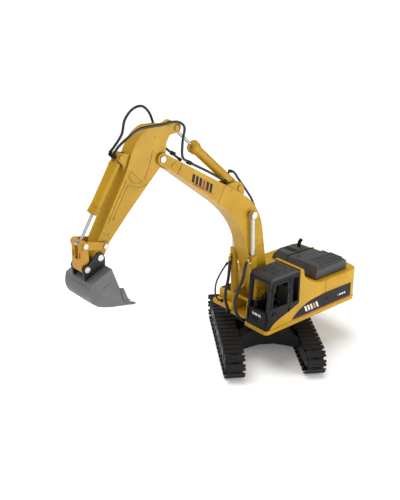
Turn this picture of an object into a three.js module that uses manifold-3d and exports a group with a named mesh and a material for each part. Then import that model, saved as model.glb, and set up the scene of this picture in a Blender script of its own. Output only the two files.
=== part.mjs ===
// A radio-controlled tracked excavator, about 1:18, as an assembly of separate pieces.
// Millimetres. +X is the tracks' forward direction, +Y is left and +Z is up. The origin is on
// the slew axis, at the underside of the belly plate. The arm's parts are laid out in the slewed
// upper frame: x towards the boom, y left, z height above the ground.
import * as THREE from "three";
import { mergeVertices } from "three/addons/utils/BufferGeometryUtils.js";
import Module from "manifold-3d";

const wasm = await Module();
wasm.setup();

// ---- driving dimensions ----
const GAP = 0.3; // clearance between neighbouring pieces
const GROOVE_WIDTH = 1.1; // of the panel lines moulded into the plastic
const GROOVE_DEPTH = 0.6;
const FAR = 1000; // past everything
const BELLY_HEIGHT = 14;
const SLEW_AT_REST = THREE.MathUtils.degToRad(-55.83);

const TRACK_LENGTH = 281;
const TRACK_HEIGHT = 52;
const TRACK_CENTRE_Y = 73.75;
const SHOE_WIDTH = 37.5;
const SHOES = 38;
const BELT_INNER_RADIUS = 19;
const WHEEL_X = (TRACK_LENGTH - TRACK_HEIGHT) / 2;
const WHEEL_Z = TRACK_HEIGHT / 2;
const FRAME_HALF_WIDTH = 15;
const WHEEL_SLOT_HALF = 9; // each wheel turns in a slot this wide in its track frame
const AXLE_RADIUS = 4;

const PEDESTAL_TOP = 62;
const HUB_RADIUS = 11;
const RING_TEETH = 32;
const PINION_TEETH = 8;
const RING_PITCH_RADIUS = 33;
const PINION_PITCH_RADIUS = (RING_PITCH_RADIUS * PINION_TEETH) / RING_TEETH;
const PINION_X = -(RING_PITCH_RADIUS + PINION_PITCH_RADIUS + 0.4);

const DECK_BOTTOM = 77;
const DECK_TOP = 85;
const HALF_WIDTH = 83; // of the upper body
const WALL = 3;
const BODY_TOP = 141;
const BODY_REAR = -134.7;
const FLANK_REAR = -153; // where the flat side ends and the rear corner begins
const REAR_CORNER = -172;
const LEDGE = 0.7; // how far the deck stands proud of the body
const ENGINE_FRONT = -25;
const HOOD_REAR = -150;
const SEAM_X = -79; // the line between the two side panels
const CAB_REAR = -8;
const CAB_FRONT = 74.2;
const CAB_RIGHT = 30;
const ROOF_TOP = 186.4;
const TANK_INNER = -27.5;
const TANK_FRONT = 10;

const ARM_Y = -4; // middle plane of boom, stick and bucket
const BOOM_FOOT = [18, 118];
const BOOM_TIP = [247, 426];
const BUCKET_PIN = [373, 293];
const BOOM_HALF_WIDTH = 18;
const STICK_HALF_WIDTH = 13.5;
const BUCKET_HALF_WIDTH = 36;
const EAR_INNER = STICK_HALF_WIDTH + GAP + 0.1;

const BOOM_CYLINDER_BASE = [50, 113];
const BOOM_CYLINDER_PIN = [56, 288];
const BOOM_CYLINDER_Y = 25.4; // either side of the arm plane
const STICK_CYLINDER_BASE = [78, 340];
const STICK_ROD_PIN = [215, 470];
const BUCKET_CYLINDER_BASE = [320, 441];
const LINK_PIN = [398, 318.5];
const IDLER_PIN = [361, 309];
const BUCKET_LINK_PIN = [398, 279.5];
const LINK_ON_BUCKET = [BUCKET_LINK_PIN[0] - BUCKET_PIN[0], BUCKET_LINK_PIN[1] - BUCKET_PIN[1]];
const EAR_THICK = 3.6; // of the bucket's ears
const LINK_THICK = 3; // of the idler links

// Each rod eye, or link eye, at an opened pivot has this much extra room around its pin.
const BOOM_EYE_PLAY = 1.8;
const STICK_EYE_PLAY = 5.4;
const BUCKET_EYE_PLAY = 3.6;
const BUCKET_LINK_PLAY = 2.1;

// ---- materials ----
const paint = (color, roughness, metalness = 0) =>
  new THREE.MeshStandardMaterial({ color, roughness, metalness });
const yellow = paint(0xd9951c, 0.42);
const linkYellow = paint(0xd8891a, 0.45);
const charcoal = paint(0x2b2c2f, 0.5);
const black = paint(0x141416, 0.6);
const rubber = paint(0x0e0e10, 0.75);
const bucketGrey = paint(0x6d6f72, 0.5, 0.2);
const steel = paint(0xc9cbce, 0.28, 0.9);
const boardGreen = paint(0x1d5a34, 0.6);
const cellBlue = paint(0x27508c, 0.5);

// ---- solids ----
const X = new THREE.Vector3(1, 0, 0);
const Y = new THREE.Vector3(0, 1, 0);
const Z = new THREE.Vector3(0, 0, 1);

function solid(geometry) {
  const bare = geometry.index ? geometry.toNonIndexed() : geometry.clone();
  bare.deleteAttribute("normal");
  bare.deleteAttribute("uv");
  const merged = mergeVertices(bare, 1e-4);
  const vertProperties = merged.attributes.position.array;
  const triVerts = new Uint32Array(merged.index.array);
  return new wasm.Manifold(new wasm.Mesh({ numProp: 3, vertProperties, triVerts }));
}

function geometryOf(made) {
  const mesh = made.getMesh();
  const geometry = new THREE.BufferGeometry();
  geometry.setAttribute("position", new THREE.BufferAttribute(mesh.vertProperties, 3));
  geometry.setIndex(new THREE.BufferAttribute(mesh.triVerts, 1));
  return geometry.toNonIndexed();
}

const join = (first, ...others) => others.reduce((whole, next) => whole.add(next), first);
const cut = (first, ...others) => others.reduce((whole, next) => whole.subtract(next), first);

function box(x0, x1, y0, y1, z0, z1) {
  const block = new THREE.BoxGeometry(x1 - x0, y1 - y0, z1 - z0);
  return solid(block.translate((x0 + x1) / 2, (y0 + y1) / 2, (z0 + z1) / 2));
}

const outline = (points) => new THREE.Shape(points.map(([u, v]) => new THREE.Vector2(u, v)));
const asShape = (form) => (Array.isArray(form) ? outline(form) : form);

function extruded(form, depth, curveSegments) {
  const options = { depth, bevelEnabled: false, curveSegments };
  return new THREE.ExtrudeGeometry(asShape(form), options);
}

// A side outline (x, z), thick from y0 to y1.
function slab(form, y0, y1, curveSegments = 4) {
  const turned = new THREE.Matrix4().makeBasis(X, Z, Y.clone().negate());
  const plate = extruded(form, y1 - y0, curveSegments).applyMatrix4(turned);
  return solid(plate.translate(0, y1, 0));
}

// A plan outline (x, y), thick from z0 to z1.
function plan(form, z0, z1, curveSegments = 4) {
  return solid(extruded(form, z1 - z0, curveSegments).translate(0, 0, z0));
}

// A front outline (y, z), thick from x0 to x1.
function across(form, x0, x1, curveSegments = 4) {
  const turned = new THREE.Matrix4().makeBasis(Y, Z, X);
  const plate = extruded(form, x1 - x0, curveSegments).applyMatrix4(turned);
  return solid(plate.translate(x0, 0, 0));
}

function discY(x, z, radius, y0, y1, segments = 12) {
  const round = new THREE.CylinderGeometry(radius, radius, y1 - y0, segments);
  return solid(round.translate(x, (y0 + y1) / 2, z));
}

function discZ(x, y, radius, z0, z1, segments = 20) {
  const round = new THREE.CylinderGeometry(radius, radius, z1 - z0, segments).rotateX(Math.PI / 2);
  return solid(round.translate(x, y, (z0 + z1) / 2));
}

function discX(radius, x0, x1, segments = 12) {
  const round = new THREE.CylinderGeometry(radius, radius, x1 - x0, segments).rotateZ(Math.PI / 2);
  return solid(round.translate((x0 + x1) / 2, 0, 0));
}

// The same plate or disc on both sides of the middle plane.
const bothSides = (maker, near, far) => join(maker(near, far), maker(-far, -near));

// A tapered link outline from a round end at the origin to a round end at (length, 0).
function linkShape(length, radius0, radius1 = radius0) {
  const lean = Math.acos((radius0 - radius1) / length);
  const shape = new THREE.Shape();
  shape.absarc(0, 0, radius0, lean, 2 * Math.PI - lean, false);
  shape.absarc(length, 0, radius1, -lean, lean, false);
  return shape;
}

// Shallow grooves along side-view polylines, as cutters for both faces of a plate -half..half.
function grooves(half, polylines, width = GROOVE_WIDTH) {
  const runs = [];
  for (const points of polylines) {
    for (let index = 1; index < points.length; index += 1) {
      const [from, to] = [points[index - 1], points[index]];
      const reach = distance(from, to) + width / 2;
      const tilt = -THREE.MathUtils.radToDeg(angleOf(from, to));
      const bar = box(-width / 2, reach, -half - 1, half + 1, -width / 2, width / 2);
      runs.push(bar.rotate([0, tilt, 0]).translate([from[0], 0, from[1]]));
    }
  }
  const core = half - GROOVE_DEPTH;
  return cut(join(...runs), box(-FAR, FAR, -core, core, -FAR, FAR));
}

// A gear or sprocket outline with straight-sided teeth, one tooth centred on angle 0.
function gearShape(teeth, tipRadius, rootRadius, rootShare = 0.52, tipShare = 0.26) {
  const points = [];
  const pitch = (2 * Math.PI) / teeth;
  for (let tooth = 0; tooth < teeth; tooth += 1) {
    const middle = tooth * pitch;
    const corners = [
      [rootRadius, -rootShare / 2],
      [tipRadius, -tipShare / 2],
      [tipRadius, tipShare / 2],
      [rootRadius, rootShare / 2],
    ];
    for (const [radius, turn] of corners) {
      const angle = middle + turn * pitch;
      points.push([radius * Math.cos(angle), radius * Math.sin(angle)]);
    }
  }
  return outline(points);
}

// ---- placing ----
const root = new THREE.Group();
root.position.z = -BELLY_HEIGHT;
const upper = new THREE.Group();
upper.rotation.z = SLEW_AT_REST;
root.add(upper);

function piece(parent, name, made, material) {
  const geometry = made.getMesh ? geometryOf(made) : made;
  const mesh = new THREE.Mesh(geometry, material);
  mesh.name = name;
  parent.add(mesh);
  return mesh;
}

const angleOf = ([x0, z0], [x1, z1]) => Math.atan2(z1 - z0, x1 - x0);
const distance = ([x0, z0], [x1, z1]) => Math.hypot(x1 - x0, z1 - z0);

// A frame in the arm plane: origin at one point, its x axis towards another.
function armFrame(from, towards, y = ARM_Y) {
  const frame = new THREE.Group();
  frame.position.set(from[0], y, from[1]);
  frame.rotation.y = -angleOf(from, towards);
  upper.add(frame);
  return frame;
}

// An upper-frame point written in such a frame's own x and z.
function within(from, towards, point) {
  const angle = angleOf(from, towards);
  const dx = point[0] - from[0];
  const dz = point[1] - from[1];
  return [
    dx * Math.cos(angle) + dz * Math.sin(angle),
    -dx * Math.sin(angle) + dz * Math.cos(angle),
  ];
}

const onBoom = (point) => within(BOOM_FOOT, BOOM_TIP, point);
const onStick = (point) => within(BOOM_TIP, BUCKET_PIN, point);

// A headed cross pin through a frame's point, in the arm plane's frame.
function crossPin(parent, name, [x, z], radius, halfSpan, headRadius, finish = steel) {
  const shank = discY(x, z, radius, -halfSpan, halfSpan, 10);
  const head = (near, far) => discY(x, z, headRadius, near, far);
  const heads = bothSides(head, halfSpan, halfSpan + 1.5);
  piece(parent, name, join(shank, heads), finish);
}

// ---- undercarriage ----
// A point of the belt's side outline: distance along its middle line, and offset outwards.
function beltPoint(along, offset) {
  const middle = (BELT_INNER_RADIUS + TRACK_HEIGHT / 2) / 2;
  const straight = 2 * WHEEL_X;
  const bend = Math.PI * middle;
  const lap = 2 * (straight + bend);
  const s = ((along % lap) + lap) % lap;
  const radius = middle + offset;
  if (s < straight) return [-WHEEL_X + s, WHEEL_Z + radius];
  if (s < straight + bend) {
    const turn = Math.PI / 2 - (s - straight) / middle;
    return [WHEEL_X + radius * Math.cos(turn), WHEEL_Z + radius * Math.sin(turn)];
  }
  if (s < 2 * straight + bend) return [WHEEL_X - (s - straight - bend), WHEEL_Z - radius];
  const turn = -Math.PI / 2 - (s - 2 * straight - bend) / middle;
  return [-WHEEL_X + radius * Math.cos(turn), WHEEL_Z + radius * Math.sin(turn)];
}

// One closed belt of shoes, each with a raised grouser bar, as a side outline.
function beltShape() {
  const middle = (BELT_INNER_RADIUS + TRACK_HEIGHT / 2) / 2;
  const pitch = (4 * WHEEL_X + 2 * Math.PI * middle) / SHOES;
  const reach = TRACK_HEIGHT / 2 - middle;
  const plate = reach - 1.8;
  const chain = -0.8;
  const shoe = [
    [0.03, chain],
    [0.03, plate],
    [0.38, plate],
    [0.42, reach],
    [0.54, reach],
    [0.58, plate],
    [0.93, plate],
    [0.93, chain],
  ];
  const points = [];
  for (let index = 0; index < SHOES; index += 1) {
    for (const [share, offset] of shoe) points.push(beltPoint((index + share) * pitch, offset));
  }
  const shape = outline(points);
  const inside = new THREE.Path();
  inside.absarc(WHEEL_X, WHEEL_Z, BELT_INNER_RADIUS, -Math.PI / 2, Math.PI / 2, false);
  inside.absarc(-WHEEL_X, WHEEL_Z, BELT_INNER_RADIUS, Math.PI / 2, (3 * Math.PI) / 2, false);
  shape.holes.push(inside);
  return shape;
}

function trackFrame() {
  const low = WHEEL_Z - 16.5;
  const high = WHEEL_Z + 16.5;
  const beamEnd = WHEEL_X - 24;
  const half = FRAME_HALF_WIDTH;
  const bar = slab(linkShape(2 * WHEEL_X, 12), -half, half).translate([-WHEEL_X, 0, WHEEL_Z]);
  const beam = box(-beamEnd, beamEnd, -half, half, low, high);
  const rollers = [];
  for (let index = -3; index <= 3; index += 1) {
    rollers.push(discY(index * 28, 13.4, 6, -12, 12, 10));
  }
  for (const x of [-42, 42]) rollers.push(discY(x, 39.4, 5.2, -12, 12, 8));
  const slots = [];
  for (const side of [-1, 1]) {
    const inner = side * (WHEEL_X - 20);
    const outer = side * (WHEEL_X + 20);
    const slot = [Math.min(inner, outer), Math.max(inner, outer)];
    slots.push(box(...slot, -WHEEL_SLOT_HALF, WHEEL_SLOT_HALF, 0, TRACK_HEIGHT));
    slots.push(discY(side * WHEEL_X, WHEEL_Z, AXLE_RADIUS + GAP, -half - 1, half + 1));
  }
  return cut(join(bar, beam, ...rollers), ...slots);
}

function wheel(rim) {
  const hub = discY(0, 0, 8, -WHEEL_SLOT_HALF + GAP, WHEEL_SLOT_HALF - GAP);
  const axle = discY(0, 0, AXLE_RADIUS, -FRAME_HALF_WIDTH, FRAME_HALF_WIDTH);
  return join(rim, hub, axle);
}

const sprocket = () => wheel(slab(gearShape(13, 18.4, 15.2), -6, 6));
const idlerWheel = () => {
  const flange = discY(0, 0, 16, -6.5, 6.5, 20);
  return wheel(join(flange, discY(0, 0, 18.4, -4, 4, 20)));
};

function travelMotor(side) {
  const inner = side > 0 ? -1 : 1;
  const near = FRAME_HALF_WIDTH + GAP;
  const [y0, y1] = inner > 0 ? [near, near + 20] : [-near - 20, -near];
  const can = discY(0, 0, 11, y0, y1);
  const gearbox = box(0, 30, y0, (y0 + y1) / 2, -9, 9);
  return join(can, inner > 0 ? gearbox : gearbox.translate([0, (y1 - y0) / 2, 0]));
}

function tracks() {
  for (const [side, label] of [[1, "left"], [-1, "right"]]) {
    const half = SHOE_WIDTH / 2;
    const y = side * TRACK_CENTRE_Y;
    piece(root, `track_${label}`, slab(beltShape(), -half, half, 5), rubber).position.y = y;
    piece(root, `track_frame_${label}`, trackFrame(), black).position.y = y;
    piece(root, `sprocket_${label}`, sprocket(), black).position.set(-WHEEL_X, y, WHEEL_Z);
    piece(root, `idler_${label}`, idlerWheel(), black).position.set(WHEEL_X, y, WHEEL_Z);
    const motor = piece(root, `travel_motor_${label}`, travelMotor(side), black);
    motor.position.set(-WHEEL_X, y, WHEEL_Z);
  }
}

// The cross-shaped chassis: four legs to the track frames, and the slew pedestal.
function chassis() {
  const reach = TRACK_CENTRE_Y - FRAME_HALF_WIDTH - GAP;
  const legs = outline([
    [56, reach], [22, reach], [18, 36], [-18, 36], [-22, reach], [-56, reach],
    [-40, 14], [-40, -14],
    [-56, -reach], [-22, -reach], [-18, -36], [18, -36], [22, -reach], [56, -reach],
    [40, -14], [40, 14],
  ]);
  const front = new THREE.Shape();
  front.moveTo(-reach, 17);
  front.quadraticCurveTo(0, 23, reach, 17);
  front.lineTo(reach, 40);
  front.lineTo(30, 54);
  front.lineTo(-30, 54);
  front.lineTo(-reach, 40);
  const cross = plan(legs, 0, PEDESTAL_TOP).intersect(across(front, -80, 80, 5));
  const pedestal = discZ(0, 0, 38, 24, PEDESTAL_TOP, 28);
  const pocket = discZ(0, 0, 18, 0, 46);
  const bore = discZ(0, 0, HUB_RADIUS + 0.5, 0, PEDESTAL_TOP + 1);
  return cut(join(cross, pedestal), pocket, bore);
}

function bellyPlate() {
  const plate = box(-30, 30, -26, 26, BELLY_HEIGHT, BELLY_HEIGHT + 2.5);
  const boss = discZ(0, 0, 17, BELLY_HEIGHT, 20);
  return join(plate, boss);
}

function slewRing() {
  const shape = gearShape(RING_TEETH, RING_PITCH_RADIUS + 1.5, RING_PITCH_RADIUS - 2);
  const bore = new THREE.Path();
  bore.absarc(0, 0, 24, 0, 2 * Math.PI, true);
  shape.holes.push(bore);
  return plan(shape, PEDESTAL_TOP + GAP, 69.5, 8);
}

function undercarriage() {
  tracks();
  piece(root, "chassis_frame", chassis(), black);
  piece(root, "belly_plate", bellyPlate(), black);
  piece(root, "slew_ring", slewRing(), steel).rotation.z = SLEW_AT_REST + Math.PI;
}

// ---- upper frame ----
// Carries an outline round the bowed rear of the machine, from its right flank to its left.
function roundRear(shape, proud) {
  const side = HALF_WIDTH + proud;
  const corner = REAR_CORNER - proud;
  shape.quadraticCurveTo(corner + 2, -side, corner, -64);
  shape.quadraticCurveTo(corner - 8, 0, corner, 64);
  shape.quadraticCurveTo(corner + 2, side, FLANK_REAR, side);
}

function deckShape() {
  const edge = HALF_WIDTH + LEDGE;
  const shape = outline([
    [FLANK_REAR, edge], [CAB_FRONT - 4, edge], [CAB_FRONT + 1, edge - 5], [CAB_FRONT + 1, 27],
    [62, 27], [62, -36], [57, -38], [57, -edge], [FLANK_REAR, -edge],
  ]);
  roundRear(shape, LEDGE);
  return shape;
}

// One bracket cheek, holding the boom foot pin and the boom cylinder base pin.
function bracketShape() {
  return outline([
    [-4, DECK_TOP - 1], [61, DECK_TOP - 1], [59, 114], [55, 120], [46, 121],
    [30, 128], [18, 130], [8, 126], [4, 116],
  ]);
}

function deck() {
  const plate = plan(deckShape(), DECK_BOTTOM, DECK_TOP, 6);
  const turntable = discZ(0, 0, 36, 70.2, DECK_BOTTOM + 1, 28);
  const hub = discZ(0, 0, HUB_RADIUS, 43.3, DECK_BOTTOM + 1);
  const inner = BOOM_HALF_WIDTH + GAP;
  const cheeks = bothSides((near, far) => slab(bracketShape(), near, far), inner, inner + 3);
  const bores = [BOOM_FOOT, BOOM_CYLINDER_BASE].map(([x, z]) => discY(x, z, 4.2, -30, 30));
  const brackets = cut(cheeks, ...bores).translate([0, ARM_Y, 0]);
  const shaftHole = discZ(PINION_X, 0, 3.4, 60, DECK_TOP + 1, 16);
  const switchSlot = box(-118, -104, -3, 3, DECK_BOTTOM - 1, DECK_TOP + 1);
  return cut(join(plate, turntable, hub, brackets), shaftHole, switchSlot);
}

// The curved top edge of the yellow side panel below the cab.
function sweepShape(lift = 0) {
  const shape = new THREE.Shape();
  shape.moveTo(CAB_REAR - 1, DECK_TOP + GAP - lift);
  shape.lineTo(66 + lift, DECK_TOP + GAP - lift);
  shape.quadraticCurveTo(58, 96 + lift, 40, 101.5 + lift);
  shape.quadraticCurveTo(12, 109 + lift, CAB_REAR - 1, 118 + lift);
  return shape;
}

// The filled volume of the body behind and beside the cab, or its hollow when inset.
function bodyMass(inset) {
  const floor = DECK_TOP + GAP - 2 * inset;
  const side = HALF_WIDTH - inset;
  const top = BODY_TOP - inset;
  const main = box(BODY_REAR + inset, ENGINE_FRONT - inset, -side, side, floor, top);
  const tank = box(ENGINE_FRONT - 2 * inset - 1, TANK_FRONT - inset, -side, TANK_INNER - inset, floor, top);
  const rear = CAB_REAR - GAP - inset;
  const ridge = outline([
    [-60, floor], [rear, floor], [rear, 184 - inset], [-14 + inset / 3, 184 - inset],
    [-17 + inset / 3, 180 - inset], [-19 + inset / 3, 169 - inset], [-23, 163 - inset],
    [-30, 157 - inset], [-44, 149 - inset], [-62, top],
  ]);
  return join(main, tank, slab(ridge, 17 + inset, side));
}

function bodyShell() {
  const sweep = slab(sweepShape(), HALF_WIDTH - 2.5, HALF_WIDTH, 6);
  const seams = grooves(HALF_WIDTH, [[[SEAM_X, 80], [SEAM_X, BODY_TOP + 1]]]);
  return cut(join(cut(bodyMass(0), bodyMass(WALL)), sweep), seams);
}

function counterweight() {
  const front = BODY_REAR - GAP;
  const shape = outline([
    [FLANK_REAR, HALF_WIDTH], [front, HALF_WIDTH], [front, -HALF_WIDTH], [FLANK_REAR, -HALF_WIDTH],
  ]);
  roundRear(shape, 0);
  return plan(shape, DECK_TOP + GAP, BODY_TOP, 6);
}

// A hood block with sloped front and side edges: its front view cuts its side view.
function hoodBlock({ front, right, left, frontTop, rearTop, chamfer, sideChamfer }) {
  const low = BODY_TOP + GAP;
  const high = Math.max(frontTop, rearTop);
  const profile = outline([
    [HOOD_REAR, low], [front, low], [front, frontTop - 2 * chamfer], [front - chamfer, frontTop],
    [HOOD_REAR + 5, rearTop], [HOOD_REAR, rearTop - 5],
  ]);
  const [rightChamfer, leftChamfer] = sideChamfer;
  const section = outline([
    [right, low], [left, low], [left, high - leftChamfer], [left - leftChamfer, high + 0.01],
    [right + rightChamfer, high + 0.01], [right, high - rightChamfer],
  ]);
  return slab(profile, right, left).intersect(across(section, HOOD_REAR - 1, front + 1));
}

// Three stepped blocks side by side, the left one with a raised louvre panel; hollow underneath.
function engineHood() {
  const near = {
    front: -64, right: 12, left: 70, frontTop: 165, rearTop: 162, chamfer: 7, sideChamfer: [1.5, 6],
  };
  const middle = {
    front: -70, right: -15, left: 12, frontTop: 160, rearTop: 157, chamfer: 7,
    sideChamfer: [0.5, 0.5],
  };
  const far = {
    front: -75, right: -57, left: -15, frontTop: 160, rearTop: 155, chamfer: 8,
    sideChamfer: [9, 1.5],
  };
  const louvres = slab([[-146, 150], [-76, 150], [-76, 163], [-79, 166.6], [-146, 163.8]], 32, 62);
  const pitch = 6.8;
  const rise = 0.28; // each slot's floor above the one behind it
  const slots = [];
  for (let row = 0; row < 9; row += 1) {
    for (const y of [34.5, 48.5]) {
      const x = -140 + row * pitch;
      slots.push(box(x, x + 2.2, y, y + 11, 162.6 + row * rise, 175));
    }
  }
  const valleys = [-15, 12].map((y) => box(HOOD_REAR - 1, -50, y - 0.9, y + 0.9, 155, 175));
  const hollow = box(HOOD_REAR + WALL, -79, -54, 67, BODY_TOP, 145);
  const blocks = [near, middle, far].map(hoodBlock);
  return cut(join(...blocks, louvres), hollow, ...slots, ...valleys);
}

function exhaustPipe() {
  const path = new THREE.CatmullRomCurve3([
    new THREE.Vector3(-127, -35, 157.2),
    new THREE.Vector3(-127, -35, 163.5),
    new THREE.Vector3(-128.2, -34.4, 169),
    new THREE.Vector3(-131.2, -32.6, 174.5),
  ]);
  return tube(path, 3.9, 5, 8);
}

// Staggered slots between the raised tiles of the cab roof.
function roofSlots() {
  const floor = ROOF_TOP - GROOVE_DEPTH;
  const lengthwise = [[8, 33, 45.5], [30, 56, 48.5], [8, 33, 64], [30, 56, 67]];
  const crosswise = [
    [20, 36, 47], [44, 38, 50], [20, 64, 78], [44, 62, 76], [32, 47, 66], [8, 45, 66],
  ];
  return [
    ...lengthwise.map(([x0, x1, y]) => box(x0, x1, y, y + GROOVE_WIDTH, floor, ROOF_TOP + 1)),
    ...crosswise.map(([x, y0, y1]) => box(x, x + GROOVE_WIDTH, y0, y1, floor, ROOF_TOP + 1)),
  ];
}

function cabFrame() {
  const floor = DECK_TOP + GAP;
  const left = HALF_WIDTH - 0.3;
  const profile = outline([
    [CAB_REAR, floor], [CAB_FRONT, floor], [CAB_FRONT, 93], [67.5, 180], [63, ROOF_TOP],
    [3, ROOF_TOP], [CAB_REAR, 181],
  ]);
  const hollow = outline([
    [CAB_REAR + WALL, floor - 5], [CAB_FRONT - WALL, floor - 5], [CAB_FRONT - WALL, 93],
    [64.3, 179], [61, ROOF_TOP - WALL], [4, ROOF_TOP - WALL], [CAB_REAR + WALL, 179],
  ]);
  const door = outline([[22, 125], [62.5, 125], [57.5, 172], [22, 172]]);
  const rearWindow = outline([[-5, 123], [11, 123], [11, 174], [-5, 174]]);
  const rightWindow = outline([[-1, 120], [63, 120], [57.5, 172], [-1, 172]]);
  const windscreen = box(60, 80, CAB_RIGHT + 5, left - 5, 120, 175);
  const middle = (CAB_RIGHT + left) / 2;
  const doorLine = grooves((left - CAB_RIGHT) / 2, [
    [[17, 108], [17, 177], [60.5, 177], [68, 112]],
  ]).translate([0, middle, 0]);
  return cut(
    slab(profile, CAB_RIGHT, left),
    doorLine,
    ...roofSlots(),
    slab(hollow, CAB_RIGHT + WALL, left - WALL),
    slab(door, 70, 90),
    slab(rearWindow, 70, 90),
    slab(rightWindow, 20, 40),
    windscreen,
    slab(sweepShape(GAP), HALF_WIDTH - 2.5 - GAP, HALF_WIDTH + 1, 6),
  );
}

function operatorSeat() {
  const base = box(12, 30, 48, 62, DECK_TOP + GAP, 97);
  const cushion = box(6, 38, 42, 68, 96, 106);
  const back = slab([[5, 105], [13, 105], [8, 148], [2, 148]], 43, 67);
  return join(base, cushion, back);
}

function toolBox() {
  const floor = DECK_TOP + GAP;
  const rear = TANK_FRONT + GAP;
  const inner = -37;
  const step = outline([[rear, floor], [41, floor], [41, 101], [38, 104], [rear, 104]]);
  const hollow = box(rear + WALL, 41 - WALL, -HALF_WIDTH + WALL, inner - WALL, floor - 1, 104 - WALL);
  return cut(slab(step, -HALF_WIDTH, inner), hollow);
}

function slewDrive() {
  const floor = DECK_TOP + GAP;
  const gearbox = discZ(PINION_X, 0, 13, floor, floor + 12, 16);
  const can = discZ(PINION_X, 0, 11, floor + 12, floor + 40, 16);
  piece(upper, "slew_motor", join(gearbox, can), steel);
  const [tips, roots] = [PINION_PITCH_RADIUS + 1.5, PINION_PITCH_RADIUS - 2];
  const teeth = plan(gearShape(PINION_TEETH, tips, roots, 0.48), 63, 69);
  const shaft = discZ(0, 0, 2.8, 68, floor - GAP, 12);
  const pinion = piece(upper, "slew_pinion", join(teeth, shaft), steel);
  pinion.position.x = PINION_X;
  pinion.rotation.z = Math.PI / PINION_TEETH;
}

function electronics() {
  const floor = DECK_TOP + GAP;
  piece(upper, "battery_pack", box(-124, -66, -62, -30, floor, floor + 30), cellBlue);
  const board = box(-90, -30, 24, 74, floor + 6, floor + 8);
  const corners = [[-86, 28], [-34, 28], [-86, 70], [-34, 70]];
  const posts = corners.map(([x, y]) => discZ(x, y, 2.5, floor, floor + 7, 8));
  const chips = [
    box(-76, -60, 36, 52, floor + 7, floor + 11),
    box(-50, -38, 40, 64, floor + 7, floor + 15),
  ];
  piece(upper, "circuit_board", join(board, ...posts, ...chips), boardGreen);
  const plateau = box(-121, -105, -6, 6, DECK_TOP + GAP, DECK_TOP + 3);
  const slider = box(-116, -110, -2.7, 2.7, DECK_BOTTOM - 1.5, DECK_TOP + 1);
  piece(upper, "power_switch", join(plateau, slider), black);
}

function upperBody() {
  piece(upper, "deck", deck(), yellow);
  piece(upper, "slew_retainer", discZ(0, 0, 15, 39.5, 43), steel);
  piece(upper, "body_shell", bodyShell(), yellow);
  piece(upper, "counterweight", counterweight(), yellow);
  piece(upper, "engine_hood", engineHood(), charcoal);
  piece(upper, "exhaust_pipe", exhaustPipe(), black);
  piece(upper, "cab_frame", cabFrame(), charcoal);
  piece(upper, "operator_seat", operatorSeat(), black);
  piece(upper, "tool_box", toolBox(), yellow);
  slewDrive();
  electronics();
}

// ---- boom ----
function boomShape() {
  const tip = distance(BOOM_FOOT, BOOM_TIP);
  const shape = new THREE.Shape();
  shape.absarc(0, 0, 10.5, THREE.MathUtils.degToRad(125), THREE.MathUtils.degToRad(300), false);
  shape.lineTo(68, 13);
  shape.lineTo(120, 32);
  shape.quadraticCurveTo(167, 49, 228, 33.5);
  shape.lineTo(335, 5.8);
  shape.absarc(tip, 0, 9.5, THREE.MathUtils.degToRad(-108), THREE.MathUtils.degToRad(68), false);
  shape.lineTo(207, 79);
  shape.quadraticCurveTo(155, 98.5, 111, 75);
  shape.lineTo(40, 37.5);
  return shape;
}

function boomEars() {
  const [x, z] = onBoom(STICK_CYLINDER_BASE);
  const ear = outline([
    [x - 20, z - 16], [x - 17, z + 1], [x - 7, z + 7.5], [x + 5, z + 8],
    [x + 14, z + 3], [x + 26, z - 17], [x, z - 24],
  ]);
  return bothSides((near, far) => slab(ear, near, far), 9.7, 13.7);
}

function boomSolid() {
  const half = BOOM_HALF_WIDTH;
  const tip = distance(BOOM_FOOT, BOOM_TIP);
  const [stickX, stickZ] = onBoom(STICK_CYLINDER_BASE);
  const [liftX, liftZ] = onBoom(BOOM_CYLINDER_PIN);
  const beam = slab(boomShape(), -half, half, 6);
  const fork = box(tip - 24, tip + 20, -STICK_HALF_WIDTH - GAP, STICK_HALF_WIDTH + GAP, -40, 40);
  const recess = slab(linkShape(26, 8, 11.5), -9.7, 9.7).translate([stickX, 0, stickZ]);
  const lines = [
    [[208.6, 410.6], [220.5, 393.1]],
    [[115.8, 352.6], [131.1, 324.5]],
    [[35.6, 217.5], [18.4, 221.9]],
  ].map((line) => line.map(onBoom));
  return cut(
    join(beam, boomEars()),
    grooves(half, lines),
    fork,
    recess,
    discY(0, 0, 3.8, -half - 1, half + 1),
    discY(tip, 0, 3.5, -half - 1, half + 1),
    discY(liftX, liftZ, 3.3, -half - 1, half + 1),
    discY(stickX, stickZ, 2.8, -half - 1, half + 1),
  );
}

function boom() {
  const frame = armFrame(BOOM_FOOT, BOOM_TIP);
  piece(frame, "boom", boomSolid(), yellow);
  const half = BOOM_HALF_WIDTH;
  crossPin(frame, "boom_stick_pin", [distance(BOOM_FOOT, BOOM_TIP), 0], 3.2, half + GAP, 5.4);
  crossPin(frame, "boom_cylinder_pin", onBoom(BOOM_CYLINDER_PIN), 3, BOOM_CYLINDER_Y + 4.2, 6.6);
  crossPin(frame, "stick_cylinder_pin", onBoom(STICK_CYLINDER_BASE), 2.5, 14, 4.7, yellow);
}

// ---- hydraulic cylinders ----
// A barrel along +x from its base eye, open at the gland end, bored for its rod.
function barrel({ length, radius, glandRadius, rodRadius, eyeRadius, eyeHalf, pinRadius }) {
  const neck = eyeRadius + 4;
  const eye = slab(linkShape(neck, eyeRadius, eyeRadius * 0.85), -eyeHalf, eyeHalf);
  const tubeBody = discX(radius, neck, length, 16);
  const gland = discX(glandRadius, length - 10, length, 16);
  const bore = discX(rodRadius + 0.5, neck + 6, length + 1);
  return cut(join(eye, tubeBody, gland), bore, discY(0, 0, pinRadius, -20, 20));
}

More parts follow.
